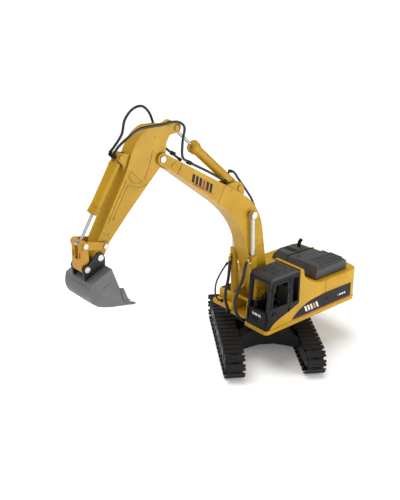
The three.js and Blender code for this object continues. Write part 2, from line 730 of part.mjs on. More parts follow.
// A rod whose eye at (length, 0) is a slot with play: pinRadius plus play, either way across.
function rod({ inner, length, radius, eyeHalf, eyeRadius, pinRadius, play, slotFrom, slotTo }) {
  const span = slotTo - slotFrom;
  const lay = (form) => form.translate([length, 0, 0]);
  const wide = play + pinRadius;
  const eye = (reach, half) => {
    const long = span > 0;
    const form = long ? slab(linkShape(span, reach), -half, half) : discY(0, 0, reach, -half, half);
    return long ? form.rotate([0, -90, 0]) : form;
  };
  const shank = discX(radius, inner, length - wide - 0.8, 12);
  return cut(
    join(shank, lay(eye(eyeRadius, eyeHalf).translate([0, 0, slotFrom]))),
    lay(eye(wide, 20).translate([0, 0, slotFrom])),
  );
}

function boomCylinders() {
  const length = distance(BOOM_CYLINDER_BASE, BOOM_CYLINDER_PIN);
  const sizes = {
    length: 96, radius: 6.7, glandRadius: 7, rodRadius: 3.5,
    eyeRadius: 7, eyeHalf: 3.8, pinRadius: 3.3,
  };
  const rodSizes = {
    inner: 44, length, radius: 3.5, eyeHalf: 3.6, eyeRadius: 7, pinRadius: 3,
    play: BOOM_EYE_PLAY, slotFrom: 0, slotTo: 0,
  };
  for (const [side, label] of [[1, "left"], [-1, "right"]]) {
    const y = ARM_Y + side * BOOM_CYLINDER_Y;
    const frame = armFrame(BOOM_CYLINDER_BASE, BOOM_CYLINDER_PIN, y);
    piece(frame, `boom_cylinder_${label}`, barrel(sizes), yellow);
    piece(frame, `boom_rod_${label}`, rod(rodSizes), steel);
  }
  const fixed = new THREE.Group();
  fixed.position.y = ARM_Y;
  upper.add(fixed);
  const span = BOOM_CYLINDER_Y + 4.2;
  crossPin(fixed, "boom_cylinder_base_pin", BOOM_CYLINDER_BASE, 3, span, 6, yellow);
  crossPin(fixed, "boom_foot_pin", BOOM_FOOT, 3.5, BOOM_HALF_WIDTH + 3 + 2 * GAP, 6);
}

function stickCylinder() {
  const frame = armFrame(STICK_CYLINDER_BASE, STICK_ROD_PIN);
  const length = distance(STICK_CYLINDER_BASE, STICK_ROD_PIN);
  const sizes = {
    length: 131, radius: 8.4, glandRadius: 11, rodRadius: 2.6,
    eyeRadius: 6.8, eyeHalf: 9.3, pinRadius: 2.8,
  };
  const rodSizes = {
    inner: 70, length, radius: 2.6, eyeHalf: 4.5, eyeRadius: 5.2, pinRadius: 2.2,
    play: 1.9, slotFrom: -STICK_EYE_PLAY, slotTo: 0,
  };
  piece(frame, "stick_cylinder", barrel(sizes), yellow);
  piece(frame, "stick_rod", rod(rodSizes), steel);
}

function bucketCylinder() {
  const frame = armFrame(BUCKET_CYLINDER_BASE, LINK_PIN);
  const length = distance(BUCKET_CYLINDER_BASE, LINK_PIN);
  const sizes = {
    length: 95.5, radius: 8.7, glandRadius: 9.6, rodRadius: 2.4,
    eyeRadius: 6.2, eyeHalf: 5.6, pinRadius: 2.8,
  };
  const rodSizes = {
    inner: 46, length, radius: 2.4, eyeHalf: 4.4, eyeRadius: 5.4, pinRadius: 2.4,
    play: 1.2, slotFrom: -BUCKET_EYE_PLAY, slotTo: 1.6,
  };
  piece(frame, "bucket_cylinder", barrel(sizes), yellow);
  piece(frame, "bucket_rod", rod(rodSizes), steel);
}

// ---- stick ----
function stickShape() {
  const [earX, earZ] = onStick(STICK_ROD_PIN);
  const end = distance(BOOM_TIP, BUCKET_PIN);
  const degrees = THREE.MathUtils.degToRad;
  const shape = new THREE.Shape();
  shape.absarc(0, 0, 8.5, degrees(215), degrees(280), false);
  shape.lineTo(40, -6);
  shape.lineTo(96, -3);
  shape.lineTo(158, -2);
  shape.absarc(end, 0, 9, degrees(-110), degrees(78), false);
  shape.lineTo(164, 18.6);
  shape.lineTo(76, 38);
  shape.quadraticCurveTo(50, 43.5, 38, 49);
  shape.quadraticCurveTo(20, 56.5, 4, 58);
  shape.quadraticCurveTo(-14, 59, -26, 50);
  shape.lineTo(-42, 30);
  shape.quadraticCurveTo(-47, 19, earX, earZ + 8.5);
  shape.absarc(earX, earZ, 8.5, degrees(90), degrees(290), false);
  shape.lineTo(-37, 11);
  shape.lineTo(-25, 8.5);
  return shape;
}

function stickSolid() {
  const half = STICK_HALF_WIDTH;
  const end = distance(BOOM_TIP, BUCKET_PIN);
  const [earX, earZ] = onStick(STICK_ROD_PIN);
  const [baseX, baseZ] = onStick(BUCKET_CYLINDER_BASE);
  const [idlerX, idlerZ] = onStick(IDLER_PIN);
  const lug = outline([
    [baseX - 16, baseZ - 16], [baseX - 7, baseZ], [baseX - 5, baseZ + 5], [baseX, baseZ + 6.8],
    [baseX + 5, baseZ + 5], [baseX + 7, baseZ], [baseX + 7.5, baseZ - 12], [baseX + 13, baseZ - 20],
  ]);
  const lugs = bothSides((near, far) => slab(lug, near, far), 6, 10);
  const rodSlot = box(earX - 12, earX + 12.6, -5.2, 5.2, earZ - 16, earZ + 40);
  const lines = [
    [[263.8, 442], [266, 432.5], [273.5, 412.5], [281, 399.5]],
    [[307.2, 418.4], [285.8, 395.6], [297.4, 395.6], [305, 400], [310.4, 408.3], [307.2, 418.4]],
    [[318, 405.5], [316.4, 402.9], [333.9, 375.5], [352.5, 343.6]],
    [
      [276.9, 391.2], [281.7, 389], [290.5, 388], [300.5, 391.5], [313.1, 396.9],
      [328.5, 372.2], [344.7, 345.9],
    ],
    [[361, 329.6], [348.4, 317.4]],
  ].map((line) => line.map(onStick));
  return cut(
    join(slab(stickShape(), -half, half), lugs),
    grooves(half, lines),
    rodSlot,
    discY(0, 0, 3.5, -half - 1, half + 1),
    discY(end, 0, 3.3, -half - 1, half + 1),
    discY(earX, earZ, 2.5, -half - 1, half + 1),
    discY(idlerX, idlerZ, 2.8, -half - 1, half + 1),
    discY(baseX, baseZ, 2.8, -half - 1, half + 1),
  );
}

// ---- bucket linkage ----
function idlerLink() {
  const length = distance(IDLER_PIN, LINK_PIN);
  const plate = slab(linkShape(length, 6.4), EAR_INNER, EAR_INNER + LINK_THICK);
  const holes = [0, length].map((x) => discY(x, 0, 2.8, 0, 30));
  return cut(plate, ...holes);
}

function bucketLink() {
  const length = distance(LINK_PIN, BUCKET_LINK_PIN);
  const half = STICK_HALF_WIDTH;
  const body = slab(linkShape(length, 6.4, 7.6), -half, half);
  const rodSlot = box(-10, length * 0.62, -4.9, 4.9, -20, 20);
  const window = (near, far) => box(length * 0.3, length * 0.55, near, far, -20, 20);
  const windows = bothSides(window, 7.5, 10.5);
  const topHole = discY(0, 0, 2.8, -20, 20);
  const looseHole = discY(length, 0, 2.5 + BUCKET_LINK_PLAY, -20, 20);
  return cut(body, rodSlot, windows, topHole, looseHole);
}

// Bucket outlines are in the upper frame's directions, from the bucket pin.
function bucketSide() {
  const shape = new THREE.Shape();
  shape.moveTo(-8, -15);
  shape.lineTo(31, -32);
  shape.quadraticCurveTo(41, -60, 20, -72);
  shape.quadraticCurveTo(4, -79, -16, -82.5);
  shape.lineTo(-46, -88.5);
  shape.lineTo(-38, -79);
  shape.lineTo(-29, -55);
  shape.lineTo(-21, -52);
  return shape;
}

function bucketHollow() {
  const shape = new THREE.Shape();
  shape.moveTo(-14, -16);
  shape.lineTo(-7, -18.5);
  shape.lineTo(28.5, -34.5);
  shape.quadraticCurveTo(37, -59, 18.5, -69.3);
  shape.quadraticCurveTo(3, -76, -16.5, -79.4);
  shape.lineTo(-62, -88.5);
  shape.lineTo(-62, -50);
  return shape;
}

function bucketEars() {
  const [linkX, linkZ] = LINK_ON_BUCKET;
  const ear = outline([
    [-8, -18], [-9, -3], [-5, 7], [3, 8.5], [linkX - 4, linkZ + 7.5], [linkX + 5, linkZ + 6.5],
    [linkX + 8, linkZ], [linkX + 5, -33], [10, -26],
  ]);
  return bothSides((near, far) => slab(ear, near, far), EAR_INNER, EAR_INNER + EAR_THICK);
}

function bucketSolid() {
  const half = BUCKET_HALF_WIDTH;
  const [linkX, linkZ] = LINK_ON_BUCKET;
  const inner = half - 2.6;
  const shell = cut(slab(bucketSide(), -half, half, 6), slab(bucketHollow(), -inner, inner, 6));
  const toothPitch = 15.2;
  const toothHalf = 3.6;
  const tooth = [[-36, -84], [-36, -86.4], [-54, -90.6], [-53, -89]];
  const teeth = [-2, -1, 0, 1, 2].map((place) =>
    slab(tooth, place * toothPitch - toothHalf, place * toothPitch + toothHalf),
  );
  return cut(
    join(shell, bucketEars(), ...teeth),
    discY(0, 0, 3.3, -30, 30, 14),
    discY(linkX, linkZ, 2.8, -30, 30),
  );
}

function stickAndBucket() {
  const frame = armFrame(BOOM_TIP, BUCKET_PIN);
  const end = distance(BOOM_TIP, BUCKET_PIN);
  piece(frame, "stick", stickSolid(), yellow);
  const rodPin = onStick(STICK_ROD_PIN);
  crossPin(frame, "stick_rod_pin", rodPin, 2.2, STICK_HALF_WIDTH + GAP, 4.4, yellow);
  const basePin = onStick(BUCKET_CYLINDER_BASE);
  crossPin(frame, "bucket_cylinder_pin", basePin, 2.5, 10 + GAP, 4.7, yellow);
  crossPin(frame, "idler_pin", onStick(IDLER_PIN), 2.5, EAR_INNER + LINK_THICK + GAP, 4.6);
  crossPin(frame, "bucket_pin", [end, 0], 3, EAR_INNER + EAR_THICK + GAP, 5.4);

  const idlerFrame = armFrame(IDLER_PIN, LINK_PIN);
  piece(idlerFrame, "idler_link_left", idlerLink(), linkYellow);
  piece(idlerFrame, "idler_link_right", idlerLink().mirror([0, 1, 0]), linkYellow);
  const linkPin = [distance(IDLER_PIN, LINK_PIN), 0];
  crossPin(idlerFrame, "link_pin", linkPin, 2.4, EAR_INNER + LINK_THICK + GAP, 4.6);

  piece(armFrame(LINK_PIN, BUCKET_LINK_PIN), "bucket_link", bucketLink(), linkYellow);

  const bucketFrame = new THREE.Group();
  bucketFrame.position.set(BUCKET_PIN[0], ARM_Y, BUCKET_PIN[1]);
  upper.add(bucketFrame);
  piece(bucketFrame, "bucket", bucketSolid(), bucketGrey);
  const outer = EAR_INNER + EAR_THICK + GAP;
  crossPin(bucketFrame, "bucket_link_pin", LINK_ON_BUCKET, 2.5, outer, 5);
}

// ---- hoses ----
function tube(path, radius, sides, steps) {
  const ring = new THREE.Shape();
  ring.absarc(0, 0, radius, 0, 2 * Math.PI, false);
  const options = { steps, curveSegments: sides, extrudePath: path, bevelEnabled: false };
  return solid(new THREE.ExtrudeGeometry(ring, options));
}

function hose(name, points, radius = 2.1, steps = 18) {
  const path = new THREE.CatmullRomCurve3(points.map(([x, y, z]) => new THREE.Vector3(x, y, z)));
  piece(upper, name, tube(path, radius, 3, steps), rubber);
}

function hoses() {
  hose("bucket_hose_right", [
    [329, -4, 453], [318, -4, 459], [310, -4, 474], [304, -5, 494], [288, -8, 507],
    [268, -11, 509], [249, -17, 495], [236, -22, 470], [226, -25, 444], [205, -25.5, 423],
    [180, -25.5, 402],
  ]);
  hose("bucket_hose_left", [
    [333, 11, 455], [316, 14, 471], [294, 15, 482], [253, 15.5, 482], [218, 16, 481],
    [205, 16, 471], [209, 16, 446], [207, 14, 421], [192, 12, 409.5], [150, 12, 384],
    [112, 12, 359],
  ]);
  hose("boom_hose", [
    [92, -4, 367.5], [82, -4, 363], [70, -4, 351], [50, -4, 326], [35, -4, 304],
    [22, -4, 270], [12, -4, 228], [6, -4, 190], [-6, -4, 154], [-21.8, -4, 138],
  ]);
  hose("front_hose_left", [
    [63, 21, 205], [70, 22, 198], [79, 23, 169], [92, 24, 146], [98.5, 24, 126],
    [92, 23, 104], [78, 21, 87], [66, 18, 79.5],
  ], 2.7);
  hose("front_hose_right", [
    [62.5, -29.4, 192], [64, -29.4, 170], [67, -29.4, 146], [72.5, -29.4, 126],
    [73, -29.4, 106], [67.5, -29.4, 88], [66, -29.4, 78],
  ], 2.7);
  hose("tank_hose", [
    [61.5, -37, 178], [72, -40, 164], [79, -47, 142], [78, -53, 120], [70, -58, 100],
    [60, -60, 90], [52, -61, 87.5],
  ], 1.8);
}

undercarriage();
upperBody();
boom();
boomCylinders();
stickCylinder();
bucketCylinder();
stickAndBucket();
hoses();

export default root;
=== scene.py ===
"""A radio-controlled toy excavator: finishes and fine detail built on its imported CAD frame.

Lengths inside the builders are millimetres. UPPER is the frame of the slewing upper body: x runs to
the boom, y to the cab side and z up from the ground. TRACKS is the frame of the undercarriage.
"""

import math

import bmesh
import bpy
from mathutils import Matrix, Vector


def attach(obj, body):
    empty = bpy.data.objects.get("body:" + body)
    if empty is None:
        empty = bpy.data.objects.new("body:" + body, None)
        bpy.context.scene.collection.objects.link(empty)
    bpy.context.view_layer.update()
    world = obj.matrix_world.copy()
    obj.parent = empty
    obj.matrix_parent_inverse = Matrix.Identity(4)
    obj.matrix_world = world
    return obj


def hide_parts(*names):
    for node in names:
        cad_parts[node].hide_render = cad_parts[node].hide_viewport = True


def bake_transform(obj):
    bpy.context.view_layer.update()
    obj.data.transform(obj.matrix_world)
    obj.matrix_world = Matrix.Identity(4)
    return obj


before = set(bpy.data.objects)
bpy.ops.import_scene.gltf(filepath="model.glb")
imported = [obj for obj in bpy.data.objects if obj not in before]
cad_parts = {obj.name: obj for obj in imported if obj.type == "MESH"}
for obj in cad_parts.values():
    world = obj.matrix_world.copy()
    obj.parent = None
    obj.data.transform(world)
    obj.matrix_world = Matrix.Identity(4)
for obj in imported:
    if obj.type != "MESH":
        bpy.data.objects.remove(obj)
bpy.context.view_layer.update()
scene = bpy.context.scene

MM = 0.001
GROUND = -14  # the ground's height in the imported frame
SLEW = math.radians(-55.83)
LIFTED = Matrix.Translation((0, 0, GROUND * MM))
TRACKS = LIFTED @ Matrix.Scale(MM, 4)
UPPER = LIFTED @ Matrix.Rotation(SLEW, 4, "Z") @ Matrix.Scale(MM, 4)

ARM_Y = -4
BUCKET_PIN = (373, 293)
STICK_CYLINDER = ((78, 340), (215, 470))
BUCKET_CYLINDER = ((320, 441), (398, 318.5))
BOOM_CYLINDER = ((50, 113), (56, 288))
BOOM_CYLINDER_OFFSET = 25.4
SIDE = 83  # half widths: body, boom, stick, track frame, bucket
BOOM_HALF, STICK_HALF, TRACK_FRAME_HALF, BUCKET_HALF = 18, 13.5, 15, 35.8
BODY_TOP = 141
ROOF_TOP = 186.4
CAB_LEFT, CAB_RIGHT, CAB_FRONT = 82.7, 30, 73.9
EXHAUST_X, EXHAUST_Y = -127, -35
TOOTH_PITCH = 15.2
SEAM_X = -79

YELLOW = (0.440, 0.246, 0.008)
LINK_YELLOW = (0.47, 0.236, 0.014)
CHARCOAL = (0.044, 0.043, 0.043)
BLACK = (0.008, 0.0075, 0.008)
BUCKET_GREY = (0.118, 0.119, 0.123)
STEEL = (0.60, 0.59, 0.57)

# The moulded finish: scales of its noises, and its depths and reaches in metres, among them the reach of
# the painted shade in crevices and the radius that finds the light edges (part wear, part painted
# highlight).
BLOTCH_SCALE, SPECKLE_SCALE, EDGE_WEAR_AND_HIGHLIGHT_SCALE, GLOSS_SCALE, SCRATCH_SCALE = 26, 700, 240, 120, 90
CREVICE_SHADE_REACH, EDGE_WEAR_AND_HIGHLIGHT_RADIUS, GRAIN_DEPTH = 0.0032, 0.0005, 0.00012
COAT_ROUGHNESS = 0.22


# ---- finishes ----
class Nodes:
    """A material's node tree, with short calls to add and join nodes."""

    def __init__(self, name):
        self.material = bpy.data.materials.new(name)
        self.material.use_nodes = True
        self.tree = self.material.node_tree
        self.shader = self.tree.nodes["Principled BSDF"]
        self.place = self.add("ShaderNodeTexCoord").outputs["Object"]

    def add(self, kind, **inputs):
        node = self.tree.nodes.new(kind)
        for key, value in inputs.items():
            self.feed(node.inputs[key.replace("_", " ")], value)
        return node

    def feed(self, socket, value):
        """Links a socket or sets a value; a colour may be given as three numbers."""
        if isinstance(value, bpy.types.NodeSocket):
            self.tree.links.new(value, socket)
        elif socket.type == "RGBA" and len(value) == 3:
            socket.default_value = (*value, 1)
        else:
            socket.default_value = value

    def noise(self, scale, detail=3.0, roughness=0.55, stretch=None):
        """A noise over the object, its scale in each axis stretched if asked."""
        place = self.place
        if stretch:
            mapping = self.add("ShaderNodeMapping", Vector=place, Scale=stretch)
            place = mapping.outputs["Vector"]
        node = self.add("ShaderNodeTexNoise", Vector=place, Scale=scale, Detail=detail,
                        Roughness=roughness)
        return node.outputs["Fac"]

    def spread(self, value, low, high, to_low, to_high):
        """Maps low..high to to_low..to_high, clamped."""
        node = self.add("ShaderNodeMapRange", Value=value)
        ends = {"From Min": low, "From Max": high, "To Min": to_low, "To Max": to_high}
        for key, number in ends.items():
            node.inputs[key].default_value = number
        return node.outputs["Result"]

    def maths(self, operation, first, second=0.0):
        node = self.tree.nodes.new("ShaderNodeMath")
        node.operation = operation
        self.feed(node.inputs[0], first)
        self.feed(node.inputs[1], second)
        return node.outputs[0]

    def mix(self, share, first, second, blend="MIX"):
        node = self.tree.nodes.new("ShaderNodeMix")
        node.data_type = "RGBA"
        node.blend_type = blend
        self.feed(node.inputs["Factor"], share)
        for socket, value in zip([s for s in node.inputs if s.type == "RGBA"], (first, second)):
            self.feed(socket, value)
        return [s for s in node.outputs if s.type == "RGBA"][0]

    def dot(self, direction):
        node = self.tree.nodes.new("ShaderNodeVectorMath")
        node.operation = "DOT_PRODUCT"
        self.feed(node.inputs[0], self.place)
        self.feed(node.inputs[1], direction)
        return node.outputs["Value"]


def moulded(name, colour, roughness, metal=0.0, coat=0.0, grain=0.12, grain_scale=2600, blotch=0.10,
            edge_wear_and_highlight=0.35, edge_wear_and_highlight_colour=None, crevice_shade=0.45, crevice_shade_tint=(0.42, 0.30, 0.20), scratch=0.0,
            second=None, shine=0.3):
    """A moulded finish: blotched colour, painted shade in crevices, light edges (part wear, part painted
    highlight), uneven gloss, fine grain.

    second is (colour, direction, level): the colour beyond a plane, level being its distance in metres.
    """
    n = Nodes(name)
    base = colour
    if second:
        other, direction, level = second
        beyond = n.maths("GREATER_THAN", n.dot(direction), level)
        base = n.mix(beyond, colour, other)
    tone = n.spread(n.noise(BLOTCH_SCALE, 4.0), 0.3, 0.7, 1 - blotch, 1 + blotch)
    shade = n.add("ShaderNodeHueSaturation", Color=base, Value=tone)
    fine = blotch * 0.35
    speckle = n.spread(n.noise(SPECKLE_SCALE, 2.0), 0.35, 0.65, 1 - fine, 1 + fine)
    shade = n.add("ShaderNodeHueSaturation", Color=shade.outputs["Color"], Value=speckle)
    # Painted shade: the colour is pulled towards a dark tint where ambient occlusion finds a crevice.
    crevice_shaded_colour = n.mix(1.0, shade.outputs["Color"], crevice_shade_tint, "MULTIPLY")
    occlusion = n.add("ShaderNodeAmbientOcclusion", Distance=CREVICE_SHADE_REACH)
    occlusion.samples = 4
    open_share = n.spread(occlusion.outputs["AO"], 0.28, 0.86, 1 - crevice_shade, 1.0)
    with_crevice_shade = n.mix(open_share, crevice_shaded_colour, shade.outputs["Color"])
    # Light edges, part wear and part painted highlight: the colour is paled where the rounded normal
    # turns away from the surface's own.
    bevel = n.add("ShaderNodeBevel", Radius=EDGE_WEAR_AND_HIGHLIGHT_RADIUS)
    bevel.samples = 4
    facing = n.add("ShaderNodeVectorMath")
    facing.operation = "DOT_PRODUCT"
    n.feed(facing.inputs[0], bevel.outputs["Normal"])
    n.feed(facing.inputs[1], n.add("ShaderNodeNewGeometry").outputs["Normal"])
    turned = n.spread(facing.outputs["Value"], 0.97, 0.8, 0.0, edge_wear_and_highlight)
    edge_wear_and_highlight_mask = n.maths("MULTIPLY", turned, n.spread(n.noise(EDGE_WEAR_AND_HIGHLIGHT_SCALE, 5.0), 0.35, 0.62, 0.25, 1.0))
    edge_wear_and_highlight_tint = edge_wear_and_highlight_colour or tuple(min(1.0, c * 1.5 + 0.03) for c in colour)
    final = n.mix(edge_wear_and_highlight_mask, with_crevice_shade, edge_wear_and_highlight_tint)
    rough = n.spread(n.noise(GLOSS_SCALE, 6.0, 0.7), 0.3, 0.7, roughness - 0.07, roughness + 0.09)
    height = n.noise(grain_scale, 2.0)
    if scratch:
        lines = n.noise(SCRATCH_SCALE, 3.0, 0.6, (1.0, 14.0, 14.0))
        marks = n.spread(lines, 0.58, 0.66, 0.0, scratch)
        final = n.mix(marks, final, tuple(min(1.0, c * 1.6 + 0.05) for c in colour))
        rough = n.maths("ADD", rough, n.maths("MULTIPLY", marks, -0.12))
    bump = n.add("ShaderNodeBump", Strength=grain, Distance=GRAIN_DEPTH, Height=height)
    n.feed(n.shader.inputs["Base Color"], final)
    n.feed(n.shader.inputs["Roughness"], rough)
    n.feed(n.shader.inputs["Normal"], bump.outputs["Normal"])
    n.shader.inputs["Metallic"].default_value = metal
    n.shader.inputs["Coat Weight"].default_value = coat
    n.shader.inputs["Coat Roughness"].default_value = COAT_ROUGHNESS
    n.shader.inputs["Specular IOR Level"].default_value = shine
    return n.material


def plane_through(from_point, to_point):
    """Unit normal and level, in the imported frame, of the plane seen as a line through two points."""
    run = Vector((to_point[0] - from_point[0], 0, to_point[1] - from_point[1]))
    left = Vector((-run.z, 0, run.x)).normalized()
    turned = Matrix.Rotation(SLEW, 3, "Z") @ left
    start = UPPER @ Vector((from_point[0], ARM_Y, from_point[1]))
    return tuple(turned), start.dot(turned)


BUCKET_RIM = [(BUCKET_PIN[0] + dx, BUCKET_PIN[1] + dz) for dx, dz in ((-8, -14.6), (31, -31.6))]
rim_normal, rim_level = plane_through(*BUCKET_RIM)

# Each finish below darkens its crevices with painted shade and pales its edges, part wear and part
# painted highlight.
yellow = moulded("yellow_plastic", YELLOW, 0.40, coat=0.05, shine=0.22, crevice_shade=0.96,
                crevice_shade_tint=(0.34, 0.17, 0.07))
link_yellow = moulded("link_yellow", LINK_YELLOW, 0.40, coat=0.05, shine=0.22, crevice_shade=0.85,
                      crevice_shade_tint=(0.42, 0.22, 0.10))
charcoal = moulded("charcoal_plastic", CHARCOAL, 0.40, coat=0.12, grain=0.3, grain_scale=1900, edge_wear_and_highlight=0.5,
                   edge_wear_and_highlight_colour=(0.14, 0.137, 0.135), crevice_shade_tint=(0.3, 0.3, 0.3))
cab_plastic = moulded("cab_plastic", (0.0085, 0.008, 0.0085), 0.42, shine=0.16, grain=0.3,
                      grain_scale=1900, edge_wear_and_highlight=0.45, edge_wear_and_highlight_colour=(0.085, 0.083, 0.082),
                      crevice_shade_tint=(0.3, 0.3, 0.3),
                      second=(CHARCOAL, (0, 0, 1), (ROOF_TOP - 5 + GROUND) * MM))
black = moulded("black_plastic", BLACK, 0.44, shine=0.16, grain=0.25, edge_wear_and_highlight=0.45,
                edge_wear_and_highlight_colour=(0.075, 0.074, 0.075), crevice_shade_tint=(0.4, 0.4, 0.4))
shoe_black = moulded("track_rubber", (0.0085, 0.008, 0.0084), 0.40, shine=0.2, grain=0.5,
                     grain_scale=1500, blotch=0.25, edge_wear_and_highlight=0.55, edge_wear_and_highlight_colour=(0.10, 0.097, 0.096),
                     crevice_shade_tint=(0.3, 0.3, 0.3))
hose_black = moulded("hose_rubber", (0.008, 0.008, 0.0095), 0.28, shine=0.4, grain=0.3, edge_wear_and_highlight=0.3,
                     edge_wear_and_highlight_colour=(0.06, 0.06, 0.065), crevice_shade_tint=(0.4, 0.4, 0.4))
grey = moulded("bucket_grey", BUCKET_GREY, 0.46, grain=0.35, grain_scale=1700, blotch=0.13,
               scratch=0.35, edge_wear_and_highlight=0.5, edge_wear_and_highlight_colour=(0.33, 0.33, 0.335), crevice_shade_tint=(0.35, 0.35, 0.37),
               second=(BLACK, rim_normal, rim_level))
steel = moulded("bright_steel", STEEL, 0.27, metal=0.85, grain=0.15, blotch=0.06, scratch=0.25, edge_wear_and_highlight=0.2,
                crevice_shade_tint=(0.5, 0.5, 0.5))
polished = moulded("polished_rod", (0.46, 0.455, 0.44), 0.22, metal=0.8, grain=0.04, blotch=0.04,
                   scratch=0.04, edge_wear_and_highlight=0.1, crevice_shade_tint=(0.55, 0.55, 0.55))
brass = moulded("brass_port", (0.42, 0.27, 0.07), 0.3, metal=0.8, grain=0.06, blotch=0.08, scratch=0.1)
pin_white = moulded("pin_metal", (0.56, 0.54, 0.48), 0.30, metal=0.45, coat=0.2, blotch=0.06, edge_wear_and_highlight=0.2,
                    crevice_shade_tint=(0.55, 0.52, 0.46))
board_green = moulded("board_green", (0.012, 0.10, 0.035), 0.45, coat=0.3)
battery_blue = moulded("battery_wrap", (0.02, 0.06, 0.24), 0.3, coat=0.4)
decal_black = moulded("decal_film", (0.010, 0.0085, 0.0085), 0.36, shine=0.16, grain=0.08, edge_wear_and_highlight=0.2,
                      crevice_shade=0.2)
decal_pale = moulded("decal_pale", (0.66, 0.65, 0.62), 0.4, blotch=0.05, grain=0.08, crevice_shade=0.1)
decal_red = moulded("decal_red", (0.30, 0.035, 0.022), 0.4, blotch=0.08, grain=0.08, crevice_shade=0.1)
lamp_clear = moulded("lamp_clear", (0.62, 0.60, 0.55), 0.16, coat=0.8, blotch=0.05, grain=0.4,
                     grain_scale=700)
lamp_red = moulded("lamp_red", (0.36, 0.012, 0.010), 0.18, coat=0.8, grain=0.4, grain_scale=700)
seat_vinyl = moulded("seat_vinyl", (0.024, 0.023, 0.025), 0.62, grain=0.9, grain_scale=1300, edge_wear_and_highlight=0.15,
                      crevice_shade_tint=(0.4, 0.4, 0.4))


# ---- shape helpers ----
def spline(points, step=1.5):
    """A centripetal curve through the points, sampled about every step."""
    pts = [Vector(p) for p in points]
    pts = [2 * pts[0] - pts[1], *pts, 2 * pts[-1] - pts[-2]]
    out = []
    for four in zip(pts, pts[1:], pts[2:], pts[3:]):
        knots = [0.0]
        for p, q in zip(four, four[1:]):
            knots.append(knots[-1] + (q - p).length ** 0.5)
        count = max(2, round((four[2] - four[1]).length / step))
        for index in range(count):
            t = knots[1] + (knots[2] - knots[1]) * index / count

            def between(p, q, low, high):
                return p.lerp(q, (t - knots[low]) / (knots[high] - knots[low]))

            first = [between(four[i], four[i + 1], i, i + 1) for i in range(3)]
            second = [between(first[i], first[i + 1], i, i + 2) for i in range(2)]
            out.append(between(*second, 1, 2))
    out.append(pts[-2])
    return out


def bend(start, control, end, count=10):
    """Points of a quadratic curve in two dimensions, its start left out."""
    out = []
    for index in range(1, count + 1):
        t = index / count
        shares = ((1 - t) ** 2, 2 * t * (1 - t), t * t)
        out.append(tuple(sum(s * p[k] for s, p in zip(shares, (start, control, end))) for k in (0, 1)))
    return out


def arc(centre, radius, start, end, count=12):
    """Points of an arc, angles in degrees."""
    turns = [math.radians(start + (end - start) * index / count) for index in range(count + 1)]
    return [(centre[0] + radius * math.cos(a), centre[1] + radius * math.sin(a)) for a in turns]


def arm_frame(origin, towards, y=ARM_Y):
    """A frame in the arm plane: origin at one side-view point, its x axis towards another."""
    angle = math.atan2(towards[1] - origin[1], towards[0] - origin[0])
    return UPPER @ Matrix.Translation((origin[0], y, origin[1])) @ Matrix.Rotation(-angle, 4, "Y")


AXES = {
    "x": Matrix(((0, 0, 1), (1, 0, 0), (0, 1, 0))),
    "y": Matrix(((1, 0, 0), (0, 0, 1), (0, 1, 0))),
    "z": Matrix.Identity(3),
}


RIB_PITCH = 2.6


